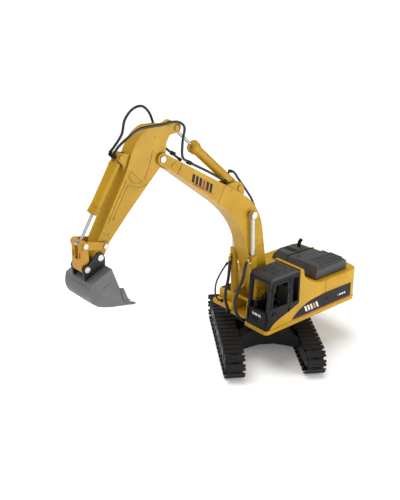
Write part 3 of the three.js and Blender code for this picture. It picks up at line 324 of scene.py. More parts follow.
class Form:
    """Solid shapes in millimetres that become one piece."""

    def __init__(self):
        self.mesh = bmesh.new()

    def faces(self, points, loops, material):
        """Faces over the points, each loop a list of their indices."""
        verts = [self.mesh.verts.new(p) for p in points]
        for loop in loops:
            face = self.mesh.faces.new([verts[i] for i in loop])
            face.material_index = material

    def prism(self, outline, low, high, axis="y", material=0):
        """A 2D outline carried along an axis."""
        turn = AXES[axis]
        count = len(outline)
        points = [turn @ Vector((*p, level)) for level in (low, high) for p in outline]
        sides = [(i, (i + 1) % count, (i + 1) % count + count, i + count) for i in range(count)]
        self.faces(points, [tuple(range(count)), tuple(range(count, 2 * count)), *sides], material)

    def box(self, x0, x1, y0, y1, z0, z1, material=0, turn=None):
        """A block; turn is (angle in degrees, axis, centre)."""
        before = len(self.mesh.verts)
        self.prism([(x0, y0), (x1, y0), (x1, y1), (x0, y1)], z0, z1, "z", material)
        if turn:
            self.turn(before, *turn)

    def turn(self, first, angle, axis, centre):
        """Turns the vertices from index first on by degrees about an axis through centre."""
        self.mesh.verts.ensure_lookup_table()
        spin = Matrix.Rotation(math.radians(angle), 3, axis)
        for v in list(self.mesh.verts)[first:]:
            v.co = spin @ (v.co - Vector(centre)) + Vector(centre)

    def turned(self, profile, centre, axis, segments=32, material=0):
        """A profile of (radius, distance along) turned about an axis through centre."""
        along = Vector(axis).normalized()
        side = along.orthogonal().normalized()
        up = along.cross(side)
        rings = []
        for radius, reach in profile:
            middle = Vector(centre) + along * reach
            if radius < 1e-6:
                rings.append([self.mesh.verts.new(middle)])
                continue
            turns = [2 * math.pi * i / segments for i in range(segments)]
            spots = [middle + side * radius * math.cos(a) + up * radius * math.sin(a) for a in turns]
            rings.append([self.mesh.verts.new(spot) for spot in spots])
        self.skin(rings, material)

    def skin(self, rings, material):
        """Joins rings of vertices in order and closes both ends; a ring may be a single vertex."""
        for one, two in zip(rings, rings[1:]):
            count = max(len(one), len(two))
            for i in range(count):
                j = (i + 1) % count
                corners = [one[i % len(one)], one[j % len(one)], two[j % len(two)], two[i % len(two)]]
                face = self.mesh.faces.new(list(dict.fromkeys(corners)))
                face.material_index = material
        for ring in (rings[0], rings[-1]):
            if len(ring) > 2:
                self.mesh.faces.new(ring).material_index = material

    def tube(self, path, radius, sides, rib=0.0):
        """A round tube along a sampled path; rib is the height of its moulded ribs."""
        normal = (path[1] - path[0]).orthogonal().normalized()
        rings, run = [], 0.0
        for index, point in enumerate(path):
            ahead = path[min(index + 1, len(path) - 1)] - path[max(index - 1, 0)]
            normal = (normal - ahead * (normal.dot(ahead) / ahead.length_squared)).normalized()
            side = ahead.normalized().cross(normal)
            if index:
                run += (point - path[index - 1]).length
            size = radius + rib * math.cos(2 * math.pi * run / RIB_PITCH)
            turns = [2 * math.pi * i / sides for i in range(sides)]
            spots = [point + (normal * math.cos(a) + side * math.sin(a)) * size for a in turns]
            rings.append([self.mesh.verts.new(spot) for spot in spots])
        self.skin(rings, 0)

    def piece(self, name, at, body, materials, soften, segments=2, replaces=(), slot=None):
        """Places the form by a frame and rounds its edges; it rides on a CAD body if one is given."""
        bmesh.ops.recalc_face_normals(self.mesh, faces=self.mesh.faces)
        self.mesh.transform(at)
        if at.to_3x3().determinant() < 0:
            bmesh.ops.reverse_faces(self.mesh, faces=self.mesh.faces)
        for face in self.mesh.faces:
            face.smooth = True
        data = bpy.data.meshes.new(name)
        self.mesh.to_mesh(data)
        self.mesh.free()
        for material in materials:
            data.materials.append(material)
        piece = bpy.data.objects.new(name, data)
        scene.collection.objects.link(piece)
        round_edges(piece, soften, segments, PIECE_ANGLE)
        if body:
            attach(piece, body)
        if replaces:
            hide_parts(*replaces)
        return piece


# Edges sharper than these angles are rounded, on detail pieces and on CAD nodes.
PIECE_ANGLE, NODE_ANGLE = 35, 28


def round_edges(piece, soften, segments, angle):
    """Bevels edges sharper than the angle, keeping the flats flat in shading."""
    if not soften:
        return
    rounding = piece.modifiers.new("rounding", "BEVEL")
    rounding.width = soften * MM
    rounding.segments = segments
    rounding.limit_method = "ANGLE"
    rounding.angle_limit = math.radians(angle)
    rounding.miter_outer = "MITER_ARC"
    flats = piece.modifiers.new("flats", "WEIGHTED_NORMAL")
    flats.weight = 100


def smoothing_group():
    """Welds a CAD mesh and shades it smooth, for use ahead of the rounding."""
    group = bpy.data.node_groups.new("weld_and_smooth", "GeometryNodeTree")
    group.interface.new_socket("Geometry", in_out="INPUT", socket_type="NodeSocketGeometry")
    group.interface.new_socket("Geometry", in_out="OUTPUT", socket_type="NodeSocketGeometry")
    start = group.nodes.new("NodeGroupInput")
    weld = group.nodes.new("GeometryNodeMergeByDistance")
    weld.inputs["Distance"].default_value = 1e-6
    smooth = group.nodes.new("GeometryNodeSetShadeSmooth")
    end = group.nodes.new("NodeGroupOutput")
    group.links.new(start.outputs[0], weld.inputs["Geometry"])
    group.links.new(weld.outputs[0], smooth.inputs["Geometry"])
    group.links.new(smooth.outputs[0], end.inputs[0])
    return group


WELD = smoothing_group()


def dress(node, material, soften, segments):
    """Gives a carried-over CAD node its finish and rounded edges; its mesh stays as packed."""
    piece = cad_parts[node]
    piece.data.materials.clear()
    piece.data.materials.append(material)
    weld = piece.modifiers.new("weld", "NODES")
    weld.node_group = WELD
    round_edges(piece, soften, segments, NODE_ANGLE)


# ---- CAD nodes that stay: finish, edge radius, segments, nodes ----
FINISHES = (
    (yellow, 0.9, 3, ("deck", "tool_box")),
    (yellow, 1.4, 3, ("body_shell",)),
    (yellow, 3.0, 4, ("counterweight",)),
    (yellow, 0.7, 2, ("boom",)),
    (yellow, 0.55, 2, ("stick",)),
    (yellow, 0.5, 2, ("boom_cylinder_left", "boom_cylinder_right", "stick_cylinder", "bucket_cylinder")),
    (link_yellow, 0.5, 2, ("idler_link_left", "idler_link_right", "bucket_link")),
    (yellow, 0.4, 2, ("stick_rod_pin", "bucket_cylinder_pin", "stick_cylinder_pin",
                      "boom_cylinder_base_pin")),
    (pin_white, 0.5, 3, ("boom_stick_pin", "boom_cylinder_pin", "idler_pin", "bucket_pin", "link_pin",
                         "bucket_link_pin")),
    (steel, 0.25, 2, ("boom_foot_pin", "slew_ring", "slew_retainer", "slew_pinion", "slew_motor")),
    (polished, 0.25, 2, ("boom_rod_left", "boom_rod_right", "stick_rod", "bucket_rod")),
    (charcoal, 0.8, 3, ("engine_hood",)),
    (cab_plastic, 0.8, 3, ("cab_frame",)),
    (black, 0.3, 2, ("exhaust_pipe",)),
    (black, 0.6, 2, ("chassis_frame", "belly_plate", "track_frame_left", "track_frame_right",
                     "idler_left", "idler_right", "sprocket_left", "sprocket_right", "power_switch",
                     "travel_motor_left", "travel_motor_right")),
    (grey, 0.5, 2, ("bucket",)),
    (battery_blue, 2.5, 4, ("battery_pack",)),
    (board_green, 0.3, 1, ("circuit_board",)),
)


def dress_all():
    """Gives every CAD node that stays its finish."""
    for material, soften, segments, nodes in FINISHES:
        for node in nodes:
            dress(node, material, soften, segments)


# ---- tracks ----
TRACK_Y = 73.75
WHEEL_X, WHEEL_Z = 114.5, 26
BELT_MIDDLE = 22.5
SHOES = 38
SHOE_HALF = 18.75
BELT_STRAIGHT = 2 * WHEEL_X
BELT_BEND = math.pi * BELT_MIDDLE
SHOE_PITCH = 2 * (BELT_STRAIGHT + BELT_BEND) / SHOES


def belt_frame(run, y):
    """Where a shoe sits: its x along the belt, y across, z outwards."""
    run %= 2 * (BELT_STRAIGHT + BELT_BEND)
    if run < BELT_STRAIGHT:
        x, turn = -WHEEL_X + run, 0.0
    elif run < BELT_STRAIGHT + BELT_BEND:
        x, turn = WHEEL_X, (run - BELT_STRAIGHT) / BELT_MIDDLE
    elif run < 2 * BELT_STRAIGHT + BELT_BEND:
        x, turn = WHEEL_X - (run - BELT_STRAIGHT - BELT_BEND), math.pi
    else:
        x, turn = -WHEEL_X, math.pi + (run - 2 * BELT_STRAIGHT - BELT_BEND) / BELT_MIDDLE
    spin = Matrix.Rotation(turn, 4, "Y")
    return Matrix.Translation((x, y, WHEEL_Z)) @ spin @ Matrix.Translation((0, 0, BELT_MIDDLE))


def notched_plate():
    """Plan of a shoe's plate: full width, with a notch in the middle of each end edge."""
    half, notch, depth = 6.1, 1.6, 1.6
    corner = SHOE_HALF - 1.2
    quarter = [(half, 0), (half, corner), (half - 1.2, SHOE_HALF), (notch, SHOE_HALF),
               (notch, SHOE_HALF - depth)]
    left = [(-x, y) for x, y in reversed(quarter)]
    top = quarter + left
    return top + [(x, -y) for x, y in reversed(top) if y > 0]


def add_shoe(form, at):
    """Adds one track shoe: plate, grousers, bolts, chain links with their pins, and guide horn."""
    part = Form()
    part.prism(notched_plate(), 1.2, 2.9, "z")
    part.box(-7.3, 7.3, -14.4, 14.4, -0.5, 1.4)
    part.box(3.3, 4.9, -SHOE_HALF + 0.6, SHOE_HALF - 0.6, 2.7, 3.5)
    part.box(-4.9, -3.9, -SHOE_HALF + 2.4, SHOE_HALF - 2.4, 2.7, 3.2)
    for side in (-1, 1):
        part.box(-7.7, 7.7, side * 7 - 2.1, side * 7 + 2.1, -3.2, 0.9)
        bolt = [(0, 0), (1.3, 0), (1.3, 0.5), (0.8, 0.8), (0, 0.8)]
        part.turned(bolt, (-0.4, side * 6, 2.6), (0, 0, 1), 8)
        link_pin = [(0, -1.6), (2.3, -1.6), (2.3, 1.6), (0, 1.6)]
        part.turned(link_pin, (7.9, side * 11.0, -1.2), (0, 1, 0), 10)
    part.box(-3.0, 3.0, -2.2, 2.2, -3.4, 0.0)
    part.mesh.transform(at)
    holder = bpy.data.meshes.new("shoe")
    part.mesh.to_mesh(holder)
    part.mesh.free()
    form.mesh.from_mesh(holder)
    bpy.data.meshes.remove(holder)


def tracks():
    """Both belts, shoe by shoe, and the fittings on their frames."""
    for label, side in (("left", 1), ("right", -1)):
        form = Form()
        for index in range(SHOES):
            add_shoe(form, belt_frame((index + 0.48) * SHOE_PITCH, side * TRACK_Y))
        form.piece(f"track_belt_{label}", TRACKS, "undercarriage", [shoe_black], 0.22, 2,
                   replaces=[f"track_{label}"], slot="track_rubber")
        track_frame_detail(label, side)


def track_frame_detail(label, side):
    """Cover, roller caps and step ribs on the outer face of a track frame."""
    form = Form()
    face = side * (TRACK_Y + TRACK_FRAME_HALF)
    out = side * 1.1
    low, high = sorted((face, face + out))
    beam = [(-84, 13), (84, 13), (90, 20), (90, 33), (84, 39), (-84, 39), (-90, 33), (-90, 20)]
    form.prism(beam, low, high)
    for x in range(-72, 73, 24):
        form.turned([(0, 0), (4.4, 0), (4.4, 1.0), (3.4, 1.9), (1.5, 1.9), (1.3, 2.6), (0, 2.6)],
                    (x, face + out * 0.9, 18), (0, side, 0), 24)
    far_low, far_high = sorted((face + out * 0.9, face + side * 2.0))
    for x0, x1 in ((-58, -14), (14, 58)):
        form.box(x0, x1, far_low, far_high, 28, 33)
    form.piece(f"track_cover_{label}", TRACKS, "undercarriage", [black], 0.35, 2)
    for wheel, x in (("sprocket", -WHEEL_X), ("idler", WHEEL_X)):
        cap = Form()
        cap.turned([(0, 0), (9.5, 0), (9.5, 0.9), (8.2, 1.7), (4.6, 1.7), (4.0, 2.4), (0, 2.6)],
                   (x, face, WHEEL_Z), (0, side, 0), 32)
        for step in range(6):
            a = math.radians(60 * step)
            spot = (x + 6.5 * math.cos(a), face + side * 1.6, WHEEL_Z + 6.5 * math.sin(a))
            cap.turned([(0, 0), (1.0, 0), (1.0, 0.8), (0, 0.8)], spot, (0, side, 0), 6)
        cap.piece(f"{wheel}_cap_{label}", TRACKS, f"{wheel}_{label}", [black], 0.2, 2)


# ---- hoses ----
ARM_HOSE, FRONT_HOSE, TANK_HOSE = 2.15, 2.9, 1.7  # radii
RIB = 0.4


def fitting(form, path, at_start, radius, material):
    """A crimped collar and hexagon nut on a hose's end."""
    end, inner = (path[0], path[3]) if at_start else (path[-1], path[-4])
    along = inner - end
    nut = [(0, -0.4), (radius + 0.9, -0.4), (radius + 0.9, 2.4), (0, 2.4)]
    form.turned(nut, end, along, 6, material)
    ridge = [(0, 2.4)]
    for step in range(4):
        ridge += [(radius + 0.65, 2.4 + step * 1.2), (radius + 0.35, 3.0 + step * 1.2)]
    form.turned([*ridge, (0, 7.2)], end, along, 16, material)


def hose(name, points, radius, node, blend, rib=0.0, ends=(1, 1)):
    """A hose in place of a CAD node, set in place with no body to ride on.

    ends gives each fitting's material slot, or 0 for none.
    """
    path = spline(points, 0.8 if rib else 1.6)
    form = Form()
    form.tube(path, radius, 14, rib)
    for slot, start in zip(ends, (True, False)):
        if slot:
            fitting(form, path, start, radius, slot)
    piece = form.piece(name, UPPER, None, [hose_black, black, brass], 0, replaces=[node],
                       slot="hose_rubber")
    start, end = (UPPER @ Vector(point) for point in blend)
    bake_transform(piece)


def hoses():
    """Six hoses, each through its points from its upper fitting to its lower one."""
    hose("hose_bucket_far", [
        (331.7, -8.3, 444.4), (330.5, -8, 449), (323, -6, 458), (311, -4, 474), (304, -5, 494),
        (288, -8, 507), (268, -11, 509), (249, -17, 495), (236, -22, 470), (226, -25, 444),
        (205, -25.5, 423), (180, -25.5, 402),
    ], ARM_HOSE, "bucket_hose_right", ((226, ARM_Y, 440), (290, ARM_Y, 480)))
    hose("hose_bucket_near", [
        (331.7, 0.3, 444.4), (330.5, 2, 449), (326, 8, 460), (314, 14, 472), (294, 15, 482),
        (253, 15.5, 482), (218, 16, 481), (205, 16, 471), (209, 16, 446), (207, 14, 421),
        (192, 12, 409.5), (150, 12, 384), (112, 12, 359),
    ], ARM_HOSE, "bucket_hose_left", ((208, ARM_Y, 430), (228, ARM_Y, 482)))
    hose("hose_boom", [
        (90.6, -4, 369.4), (80.5, -4, 365.5), (69, -4, 351), (50, -4, 326), (35, -4, 304), (22, -4, 270),
        (12, -4, 228), (6, -4, 190), (-6, -4, 154), (-21.8, -4, 138),
    ], ARM_HOSE, "boom_hose", ((-18, ARM_Y, 140), (10, ARM_Y, 215)), ends=(1, 0))
    hose("hose_front_near", [
        (63, 21, 205), (70, 22, 198), (79, 23, 169), (92, 24, 146), (98.5, 24, 126), (92, 23, 104),
        (78, 21, 87), (66, 18, 79.5),
    ], FRONT_HOSE, "front_hose_left", ((78, 21, 90), (95, 24, 130)), RIB, (2, 1))
    hose("hose_front_far", [
        (62.5, -29.4, 192), (64, -29.4, 170), (67, -29.4, 146), (72.5, -29.4, 126), (73, -29.4, 106),
        (67.5, -29.4, 88), (66, -29.4, 78),
    ], FRONT_HOSE, "front_hose_right", ((66, -29, 88), (70, -29, 126)), RIB, (2, 1))
    hose("hose_tank", [
        (61.5, -37, 178), (72, -40, 164), (79, -47, 142), (78, -53, 120), (70, -58, 100), (60, -60, 90),
        (52, -61, 87.5),
    ], TANK_HOSE, "tank_hose", ((58, -60, 92), (64, -38, 174)))


# ---- marks: plain bars, no lettering ----
FILM = 0.3


def film(form, outline, face, material):
    """A thin film on a flank: face is the y of the surface, negative on the right."""
    out = math.copysign(FILM, face)
    low, high = sorted((face - out * 0.2, face + out))
    form.prism(outline, low, high, "y", material)


def slanted(x, z, width, height, lean):
    """Outline of a bar that leans by a share of its height."""
    shift = height * lean
    return [(x, z), (x + width, z), (x + width + shift, z + height), (x + shift, z + height)]


def flank_film(side):
    """The dark panel along a flank, its red foot line, and rows of plain slanted bars."""
    near = side > 0
    face = side * SIDE
    foot, top = 88.2, 116.2
    after_seam, before_seam = SEAM_X + 0.6, SEAM_X - 0.6
    form = Form()
    if near:
        front = [(9, foot), *bend((9, foot), (-8, 106), (-40, 113), 10), (after_seam, top),
                 (after_seam, foot)]
    else:
        front = [(after_seam, foot), (-4, foot), *bend((-4, foot), (-14, 106), (-42, 113), 8),
                 (after_seam, top)]
    film(form, front, face, 0)
    rear = [(before_seam, foot), (before_seam, 116.3), (-134, 116), (-152, 115.4), (-152, foot)]
    film(form, rear, face, 0)
    for x0, x1 in ((-152, before_seam), (after_seam, 7.5 if near else -4)):
        film(form, [(x0, 86.6), (x1, 86.6), (x1, 88), (x0, 88)], face, 1)
    across = -1 if near else 1
    lean = 0.45 * -across
    on_film = face + side * FILM
    for index in range(5):
        x = (-32 if near else -66) + across * index * 7.6
        film(form, slanted(x, 93, 4.6, 12, lean), on_film, 3 if index == 3 else 2)
    for index in range(4):
        x = (-118 if near else -130) + across * index * 6.4
        film(form, slanted(x, 97.5, 4.2, 3.4, lean), on_film, 1 if index == 0 else 2)
    latch = sorted((face, face + side * 0.9))
    form.prism(arc((-86, 102), 4.2, 0, 360, 20)[:-1], *latch, "y", 4)
    form.box(-88.6, -83.4, *sorted((face, face + side * 1.5)), 101, 103, 4)
    form.piece("flank_film_left" if near else "flank_film_right", UPPER, "upper",
               [decal_black, decal_red, decal_pale, yellow, black], 0.05, 1)


def boom_film(side):
    """A row of plain slanted bars along the boom, over a thin line."""
    face = ARM_Y + side * BOOM_HALF
    form = Form()
    run = Vector((-46, -30)).normalized()
    rise = Vector((run.y, -run.x))
    for index in range(6):
        corners = [tuple(Vector((189, 376)) + run * (index * 9 + along) + rise * up)
                   for along, up in ((0, 0), (6, 0), (1, 13), (-5, 13))]
        film(form, corners, face, 1 if index == 3 else 0)
    corners = [tuple(Vector((186, 371)) + run * along + rise * up)
               for along, up in ((0, 0), (50, 0), (50, 2), (0, 2))]
    film(form, corners, face, 1)
    form.piece("boom_film_left" if side > 0 else "boom_film_right", UPPER, "boom",
               [decal_black, decal_red], 0.05, 1)


# ---- cab ----
def frame_ring(form, outer, inset, low, high):
    """A window gasket: a flat ring between an outline and the same outline drawn in."""
    count = len(outer)
    mid = Vector((sum(p[0] for p in outer) / count, sum(p[1] for p in outer) / count))
    inner = []
    for index, point in enumerate(outer):
        here = Vector(point)
        before = (here - Vector(outer[index - 1])).normalized()
        after = (Vector(outer[(index + 1) % count]) - here).normalized()
        normal = Vector((-(before + after).y, (before + after).x)).normalized()
        if normal.dot(mid - here) < 0:
            normal.negate()
        square = abs(normal.dot(Vector((-before.y, before.x))))
        inner.append(tuple(here + normal * inset / max(0.3, square)))
    turn = AXES["y"]
    rings = (outer, inner)
    points = [turn @ Vector((*p, level)) for level in (low, high) for ring in rings for p in ring]
    loops = []
    for i in range(count):
        j = (i + 1) % count
        for one, two in ((0, 1), (2, 3), (0, 2), (1, 3)):
            near, far = one * count, two * count
            loops.append((i + near, j + near, j + far, i + far))
    form.faces(points, loops, 0)


def cab_trim():
    """Gaskets, door handle and hinges, grab rail, front trim, wiper, and the bars on the cab front."""
    form = Form()
    door_window = [(20, 123), (65, 123), (59.5, 174), (20, 174)]
    frame_ring(form, door_window, 3.2, CAB_LEFT - 0.2, CAB_LEFT + 0.9)
    side_window = [(-6.5, 121.5), (12.5, 121.5), (12.5, 175.5), (-6.5, 175.5)]
    frame_ring(form, side_window, 2.6, CAB_LEFT - 0.2, CAB_LEFT + 0.7)
    form.box(52, 60, CAB_LEFT, CAB_LEFT + 1.7, 113, 117.5)
    form.box(53.5, 58.5, CAB_LEFT + 1.4, CAB_LEFT + 2.4, 114.3, 116.2)
    for z in (112, 150, 170):
        hinge = [(0, -3.2), (1.6, -3.2), (1.6, 3.2), (0, 3.2)]
        form.turned(hinge, (18.2, CAB_LEFT + 0.8, z), (0, 0, 1), 10)
    on_post, clear = CAB_LEFT + 0.2, CAB_LEFT + 3.2
    rail = [(71.5, on_post, 106), (72, clear, 109), (70.6, clear, 130), (66.6, clear, 164),
            (65.8, on_post, 167)]
    form.tube(spline(rail, 2), 0.95, 10)
    for y in (CAB_RIGHT + 3.4, CAB_LEFT - 3.4):
        form.box(CAB_FRONT, 75.3, y - 1.3, y + 1.3, 89, 118)
    form.box(CAB_FRONT, 75.2, CAB_RIGHT + 2, CAB_LEFT - 2, 117.2, 119.6)
    for z in (95, 99, 103):
        form.box(CAB_FRONT, 74.9, CAB_RIGHT + 12, CAB_LEFT - 26, z, z + 1.6)
    wiper = [Vector((74.6, 50, 120)), Vector((72.4, 53, 140)), Vector((70.6, 56, 154))]
    form.tube(spline(wiper, 3), 0.55, 8)
    blade = [Vector((72.6, 52, 138)), Vector((69.6, 58.5, 166))]
    form.tube(spline(blade, 3), 0.8, 6)
    form.piece("cab_trim", UPPER, "upper", [black], 0.25, 2)

    marks = Form()
    for index, width in enumerate((3.2, 2.2, 3.8, 2.2, 3.2)):
        y = 68 - index * 4.6
        bar = [(y, 108), (y - width, 108), (y - width - 1.4, 113), (y - 1.4, 113)]
        marks.prism(bar, 74.15, 74.6, "x", 0)
    marks.piece("cab_mark", UPPER, "upper", [decal_pale], 0.05, 1)


def cab_roof():
    """Screws standing on the roof's corners."""
    form = Form()
    for x, y in ((8, 36), (58, 36), (8, 77), (58, 77)):
        screw = [(0, 0), (1.3, 0), (1.3, 0.4), (0.7, 0.8), (0, 0.8)]
        form.turned(screw, (x, y, ROOF_TOP - 0.1), (0, 0, 1), 12)
    form.piece("roof_screws", UPPER, "upper", [black], 0.1, 1)


def seat():
    """Two-cushion seat on a plinth, with arm rests, levers, pedals and a small display."""
    form = Form()
    form.box(12.3, 30, 48, 62, 85.4, 97, 1)
    form.box(9, 34, 44, 66, 95.5, 98, 1)
    cushion = [(42.5, 98), (67.5, 98), (68, 102), (65.5, 105.4), (55, 104.2), (44.5, 105.4), (42, 102)]
    form.prism(cushion, 8, 37.5, "x", 0)
    back = [(43.4, 106), (66.6, 106), (67, 136), (63.5, 147.6), (46.5, 147.6), (43, 136)]
    before = len(form.mesh.verts)
    form.prism(back, 4.4, 11.4, "x", 0)
    form.prism([(47, 110), (63, 110), (63.5, 142), (46.5, 142)], 11, 12.6, "x", 0)
    form.turn(before, -7, "Y", (8, 55, 106))
    for y0, y1 in ((38.6, 42.2), (67.8, 71.4)):
        form.box(8, 33, y0, y1, 111, 115, 0)
        form.box(12, 20, y0 + 0.5, y1 - 0.5, 97, 111.4, 1)
        middle = (y0 + y1) / 2
        grip = [(0, 0), (1.9, 0), (1.1, 1.6), (0.9, 8), (1.8, 10), (2.0, 13.5), (1.2, 15), (0, 15.3)]
        form.turned(grip, (31, middle, 114.5), (0.12, 0, 1), 14, 1)
    form.piece("driver_seat", UPPER, "upper", [seat_vinyl, black], 0.7, 3, replaces=["operator_seat"])

    fit = Form()
    fit.box(62, 66, 34, 44, 117, 128, 0, turn=(-18, "Z", (64, 39, 122)))
    fit.box(61.4, 62.2, 35, 43, 118.4, 126.6, 1, turn=(-18, "Z", (64, 39, 122)))
    fit.box(52, 60, 47, 53, 86, 88.4, 0, turn=(20, "Y", (56, 50, 87)))
    fit.box(52, 60, 57, 63, 86, 88.4, 0, turn=(20, "Y", (56, 60, 87)))
    for y in (51.5, 58.5):
        lever = [(0, 0), (0.8, 0), (0.8, 20), (1.7, 21.5), (1.7, 25), (0, 26)]
        fit.turned(lever, (58, y, 87), (-0.15, 0, 1), 12, 0)
    fit.piece("cab_controls", UPPER, "upper", [black, decal_pale], 0.3, 2)


# ---- body and hood ----
def hood_detail():
    """Exhaust collar, cap, screws, louvres and latch lips, with the seals in the hood's valleys."""
    form = Form()
    form.turned([(0, 0), (6.6, 0), (6.6, 1.2), (5.2, 2.2), (4.6, 2.2), (4.6, 3.4), (0, 3.4)],
                (EXHAUST_X, EXHAUST_Y, 155.6), (0, 0, 1), 24)
    for step in range(4):
        a = math.radians(45 + 90 * step)
        spot = (EXHAUST_X + 5.6 * math.cos(a), EXHAUST_Y + 5.6 * math.sin(a), 156.7)
        form.turned([(0, 0), (0.8, 0), (0.8, 0.8), (0, 0.8)], spot, (0, 0, 1), 6)
    form.turned([(0, 0), (2.4, 0), (2.4, 1.6), (1.8, 2.6), (0, 2.8)], (-92, -2, 158.6), (0.03, 0, 1), 20)
    for x, y, z in ((-84, 6, 158.9), (-142, 6, 157), (-84, -9, 158.9), (-142, -9, 157), (-82, 22, 164.1),
                    (-142, 22, 162.1), (-86, -48, 158.6), (-140, -48, 155.4)):
        form.turned([(0, 0), (1.2, 0), (1.2, 0.5), (0.6, 0.9), (0, 0.9)], (x, y, z), (0.03, 0, 1), 10)
    for row in range(6):
        along, rise = row * 8.4, row * 0.55
        form.box(-140 + along, -135.4 + along, -54.6, -22, 154.2 + rise, 156.2 + rise)
    form.box(-66, -63.2, 24, 60, 146, 147.2)
    form.box(-66, -63.2, 24, 60, 143.6, 144.8)
    form.piece("hood_fittings", UPPER, "upper", [charcoal], 0.3, 2)

    seals = Form()
    for low, high in ((9.2, 12), (-17.6, -14.8)):
        rise = 0.5 if low > 0 else 0.9
        top = [(-149, 156.6 + rise), (-79, 159.7 + rise), (-71, 146), (-71, 144), (-149, 144)]
        seals.prism(top, low, high)
    seals.piece("hood_seals", UPPER, "upper", [black], 0.2, 1)

    plate = Form()
    plate.prism([(-112, -52), (-84, -52), (-84, -24), (-112, -24)], 157.4, 158.9, "z")
    plate.piece("hood_plate", UPPER, "upper", [black], 0.3, 2)


def tail():
    """Lifting eyes, the rear grille and the tail lamps."""
    form = Form()
    for side in (-1, 1):
        x, y = -140, side * 52
        form.turned([(0, 0), (4.6, 0), (4.6, 2.2), (3.8, 3.0), (0, 3.0)], (x, y, BODY_TOP - 0.2),
                    (0, 0, 1), 20)
        arch = ((-3, 2), (-3, 6.5), (0, 8.4), (3, 6.5), (3, 2))
        loop = [(x + dx, y, BODY_TOP + dz) for dx, dz in arch]
        form.tube(spline(loop, 1.2), 1.1, 10)
    form.piece("lifting_eyes", UPPER, "upper", [black], 0.2, 2)

    grille = Form()
    grille.box(-178.6, -176.6, -38, 38, 95, 97, 0)
    grille.box(-178.6, -176.6, -38, 38, 131, 133, 0)
    for y in (-38, 36):
        grille.box(-178.6, -176.6, y, y + 2, 95, 133, 0)
    for row in range(8):
        z = 99.4 + row * 4
        grille.box(-178.4, -176.8, -36.2, 36.2, z, z + 1.7, 0)
    grille.piece("rear_grille", UPPER, "upper", [charcoal], 0.3, 2)

    lamps = Form()
    for side in (-1, 1):
        y0, y1 = sorted((side * 48, side * 62))
        lamps.box(-175.0, -172.4, y0, y1, 98, 108, 0)
        lamps.box(-176.0, -174.6, y0 + 1.2, y1 - 1.2, 99.2, 102.6, 1)
        lamps.box(-176.0, -174.6, y0 + 1.2, y1 - 1.2, 103.4, 106.8, 2)
    lamps.piece("tail_lamps", UPPER, "upper", [black, lamp_clear, lamp_red], 0.4, 2)


def body_fittings():
    """Fuel cap, grab rails, tread plates, side louvres and screws."""
    form = Form()
    cap = [(0, 0), (6.2, 0), (6.2, 3.2), (5.4, 4.2), (2.2, 4.2), (2.2, 5.4), (0, 5.4)]
    form.turned(cap, (-4, -46, BODY_TOP - 0.2), (0, 0, 1), 24)
    form.box(-9, 1, -47.2, -44.8, BODY_TOP + 4, BODY_TOP + 6)
    rail = [(x, -80, BODY_TOP + rise) for x, rise in ((8, -0.5), (8, 12), (2, 15), (-40, 15), (-46, 12),
                                                      (-46, -0.5))]
    form.tube(spline(rail, 2), 1.15, 10)
    post = [(-20, -80, BODY_TOP - 0.5), (-20, -80, BODY_TOP + 15)]
    form.tube(spline(post, 3), 1.0, 10)
    form.piece("tank_rail_and_cap", UPPER, "upper", [black], 0.2, 2)

    tread = Form()
    tread.box(12.6, 37, -80.6, -39.4, 103.8, 105, 0)
    for column in range(6):
        for row in range(4):
            x, y = 16 + row * 5.6, -77 + column * 6.9
            angle = 45 if (column + row) % 2 else -45
            tread.box(x - 1.9, x + 1.9, y - 0.5, y + 0.5, 104.8, 105.5, 0,
                      turn=(angle, "Z", (x, y, 105)))
    tread.piece("step_tread", UPPER, "upper", [black], 0.2, 2)

    for side, name in ((-1, "right"), (1, "left")):
        screws = Form()
        spots = [(-50, 134), (-72, 134), (-84, 134), (-128, 134)] if side < 0 else [(-14, 176)]
        for x, z in spots:
            screw = [(0, -0.3), (1.7, -0.3), (1.7, 0.3), (1.0, 0.8), (0, 0.8)]
            screws.turned(screw, (x, side * SIDE, z), (0, side, 0), 12)
        screws.piece(f"flank_screws_{name}", UPPER, "upper", [yellow], 0.1, 1)

    vents = Form()
    border = [(-126, 119), (-92, 119), (-92, 137), (-126, 137)]
    frame_ring(vents, border, 1.8, -SIDE - 0.9, -SIDE + 0.2)
    for row in range(4):
        z = 122.3 + row * 3.6
        vents.box(-124.4, -93.6, -SIDE - 0.8, -SIDE + 0.2, z, z + 1.6, 0)
    vents.piece("side_vents", UPPER, "upper", [charcoal], 0.3, 2)


# ---- arm ----
def cylinder_trim(name, ends, y, body, length, gland, radius, ports):
    """Rings, a wiper and hose ports on one cylinder's barrel; ports are (distance along, way, slot)."""
    barrel, along = arm_frame(*ends, y), (1, 0, 0)
    form = Form()
    end_ring = [(0, -4.4), (gland + 0.35, -4.4), (gland + 0.35, -1.6), (gland - 0.8, 0.4), (0, 0.4)]
    form.turned(end_ring, (length, 0, 0), along)
    band = [(0, 0), (radius + 0.45, 0), (radius + 0.45, 2.2), (0, 2.2)]
    for at in (13.5, length - 14):
        form.turned(band, (at, 0, 0), along)
    form.piece(f"{name}_rings", barrel, body, [yellow], 0.25)
    wiper = Form()
    lip = [(0, 0.2), (gland * 0.62, 0.2), (gland * 0.55, 1.5), (0, 1.5)]
    wiper.turned(lip, (length, 0, 0), along, 28)
    wiper.piece(f"{name}_wiper", barrel, body, [yellow], 0.15)
    fit = Form()
    port = [(0, 0), (3.1, 0), (3.1, 2.2), (2.2, 2.6), (2.2, 5.4), (0, 5.4)]
    for at, way, slot in ports:
        foot = (at, way[1] * radius * 0.8, way[2] * radius * 0.8)
        fit.turned(port, foot, way, 6, slot)
    fit.piece(f"{name}_ports", barrel, body, [black, brass], 0.2)


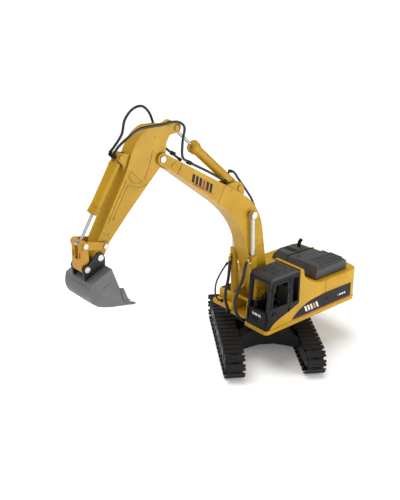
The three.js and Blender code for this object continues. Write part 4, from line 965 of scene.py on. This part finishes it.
def arm_detail():
    """Trim on the four cylinders, bosses and hose clamps on the boom, screws on the stick."""
    for side, label in ((1, "left"), (-1, "right")):
        cylinder_trim(f"lift_{label}", BOOM_CYLINDER, ARM_Y + side * BOOM_CYLINDER_OFFSET,
                      "boom_cylinders", 96, 7, 6.7, [(84, (0, 0, -1), 1)])
    cylinder_trim("crowd", STICK_CYLINDER, ARM_Y, "stick_cylinder", 131, 11, 8.4, [(29, (0, 0, 1), 0)])
    cylinder_trim("curl", BUCKET_CYLINDER, ARM_Y, "bucket_cylinder", 95.5, 9.6, 8.7,
                  [(3.4, (0, -0.35, 0.94), 0), (3.4, (0, 0.35, 0.94), 0)])
    bosses = Form()
    for side in (-1, 1):
        face = ARM_Y + side * BOOM_HALF
        for x, z, radius in ((225, 410, 5.2), (212, 402, 1.6), (100, 340, 1.6), (36, 232, 1.6),
                             (28, 180, 1.6)):
            boss = [(0, -0.4), (radius, -0.4), (radius, 0.5), (radius - 0.6, 1.1), (0, 1.1)]
            bosses.turned(boss, (x, face, z), (0, side, 0), 24)
    bosses.piece("boom_bosses", UPPER, "boom", [yellow], 0.2, 2)
    clamps = Form()
    for x, y, z in ((196, -25.5, 417), (192, 12, 409.5)):
        side = -1 if y < ARM_Y else 1
        across = sorted((y - 3.4 * side, y + 3.2 * side))
        clamps.box(x - 4, x + 4, *across, z - 4, z + 2.6, 0, turn=(-33, "Y", (x, y, z)))
    clamps.piece("hose_clamps", UPPER, "boom", [black], 0.5, 2)
    screws = Form()
    for side in (-1, 1):
        for x, z in ((258, 462), (340, 348), (352, 326)):
            spot = (x, ARM_Y + side * STICK_HALF, z)
            screw = [(0, -0.4), (1.5, -0.4), (1.5, 0.4), (0.8, 0.9), (0, 0.9)]
            screws.turned(screw, spot, (0, side, 0), 16)
    screws.piece("stick_screws", UPPER, "stick", [yellow], 0.15, 1)


def bucket_detail():
    """Seams across the shell's back, side cutters, side patches and tooth caps."""
    at = UPPER @ Matrix.Translation((BUCKET_PIN[0], ARM_Y, BUCKET_PIN[1]))
    form = Form()
    shell = [(31, -32), *bend((31, -32), (41, -60), (20, -72), 8),
             *bend((20, -72), (4, -79), (-16, -82.5), 6), (-40, -87.3)]
    for index in (1, 6, 12):
        before, here, after = shell[index - 1:index + 2]
        run = Vector((after[0] - before[0], after[1] - before[1])).normalized()
        out = Vector((-run.y, run.x))
        if out.dot(Vector(here) - Vector((0, -50))) < 0:
            out.negate()
        bead = ((-0.8, -0.5), (-0.6, 0.55), (0.6, 0.55), (0.8, -0.5))
        seam = [tuple(Vector(here) + run * along + out * up) for along, up in bead]
        form.prism(seam, 0.2 - BUCKET_HALF, BUCKET_HALF - 0.2)
    for side in (-1, 1):
        low, high = sorted((side * BUCKET_HALF, side * 37.4))
        cutter = [(-22, -56), (-28.5, -56), (-37, -79), (-44, -87.4), (-36, -85.8), (-27, -76)]
        form.prism(cutter, low, high)
        patch_low, patch_high = sorted((side * BUCKET_HALF, side * 36.7))
        form.prism([(-2, -40), (9, -43), (7, -50), (-4, -47)], patch_low, patch_high)
        for x, z in ((-26, -62), (-31, -76)):
            form.turned([(0, 0), (1.5, 0), (1.5, 0.9), (0, 0.9)], (x, high if side > 0 else low, z),
                        (0, side, 0), 8)
    form.piece("bucket_seams", at, "bucket", [grey], 0.3, 2)
    caps = Form()
    for place in range(-2, 3):
        y = place * TOOTH_PITCH
        caps.prism([(-38, -83.2), (-38, -87.6), (-49, -90.2), (-49, -87.3)], y - 4.3, y + 4.3, "y", 0)
        caps.turned([(0, -4.9), (0.9, -4.9), (0.9, 4.9), (0, 4.9)], (-42.5, y, -86.6), (0, 1, 0), 8, 0)
    caps.piece("tooth_caps", at, "bucket", [grey], 0.3, 2)


# ---- stage, camera, light ----
FLOOR_HALF, FLOOR_LIFT = 9000, 0.12
SKY, SUN, SUN_SPREAD = 0.36, 2.8, 50
CAMERA_AT = (1.4608, -0.2741, 0.8208)
CAMERA_AZIMUTH, CAMERA_ELEVATION = -6.172, 25.379
LENS, SHIFT_X, SHIFT_Y = 62.43, -0.00732, 0.06424


def paper():
    """A pale matt floor with a very slight paper texture."""
    n = Nodes("floor_paper")
    tone = n.spread(n.noise(8, 3.0), 0.3, 0.7, 0.985, 1.0)
    shade = n.add("ShaderNodeHueSaturation", Color=(0.93, 0.925, 0.92, 1), Value=tone)
    n.feed(n.shader.inputs["Base Color"], shade.outputs["Color"])
    n.shader.inputs["Roughness"].default_value = 0.6
    n.shader.inputs["Emission Color"].default_value = (1, 1, 1, 1)
    n.shader.inputs["Emission Strength"].default_value = FLOOR_LIFT
    return n.material


def studio():
    """The floor, sky, lamps and the photo's camera."""
    form = Form()
    far = FLOOR_HALF
    form.faces([(-far, -far, 0), (far, -far, 0), (far, far, 0), (-far, far, 0)], [(0, 1, 2, 3)], 0)
    form.piece("floor", TRACKS, None, [paper()], 0)

    world = bpy.data.worlds.new("sky")
    scene.world = world
    world.use_nodes = True
    background = world.node_tree.nodes["Background"]
    background.inputs["Color"].default_value = (1.0, 0.995, 0.985, 1)
    background.inputs["Strength"].default_value = SKY

    sun = bpy.data.lights.new("key", "SUN")
    sun.energy = SUN
    sun.angle = math.radians(SUN_SPREAD)
    lamps = [(sun, (-0.35, -0.45, 1.6), (0, 0, 0))]
    for name, place, aim, energy, size in (
        ("side", (0.62, 0.80, 0.34), (0.0, 0.1, 0.08), 6.6, 0.6),
        ("front", (1.5, -0.9, 1.0), (0.1, -0.1, 0.2), 5, 1.2),
    ):
        lamp = bpy.data.lights.new(name, "AREA")
        lamp.energy = energy
        lamp.size = size
        lamps.append((lamp, place, aim))
    for lamp, place, aim in lamps:
        light = bpy.data.objects.new(lamp.name, lamp)
        scene.collection.objects.link(light)
        light.location = place
        light.rotation_mode = "QUATERNION"
        light.rotation_quaternion = (Vector(aim) - light.location).to_track_quat("-Z", "Y")

    camera = bpy.data.objects.new("camera", bpy.data.cameras.new("camera"))
    scene.collection.objects.link(camera)
    camera.data.sensor_width = 36
    camera.data.lens = LENS
    camera.data.shift_x = SHIFT_X
    camera.data.shift_y = SHIFT_Y
    azimuth, elevation = math.radians(CAMERA_AZIMUTH), math.radians(CAMERA_ELEVATION)
    level = math.cos(elevation)
    back = Vector((level * math.cos(azimuth), level * math.sin(azimuth), math.sin(elevation)))
    camera.location = CAMERA_AT
    camera.rotation_mode = "QUATERNION"
    camera.rotation_quaternion = (-back).to_track_quat("-Z", "Y")
    scene.camera = camera
    scene.view_settings.view_transform = "Standard"


dress_all()
tracks()
hoses()
for flank in (1, -1):
    flank_film(flank)
    boom_film(flank)
cab_trim()
cab_roof()
seat()
hood_detail()
tail()
body_fittings()
arm_detail()
bucket_detail()
studio()
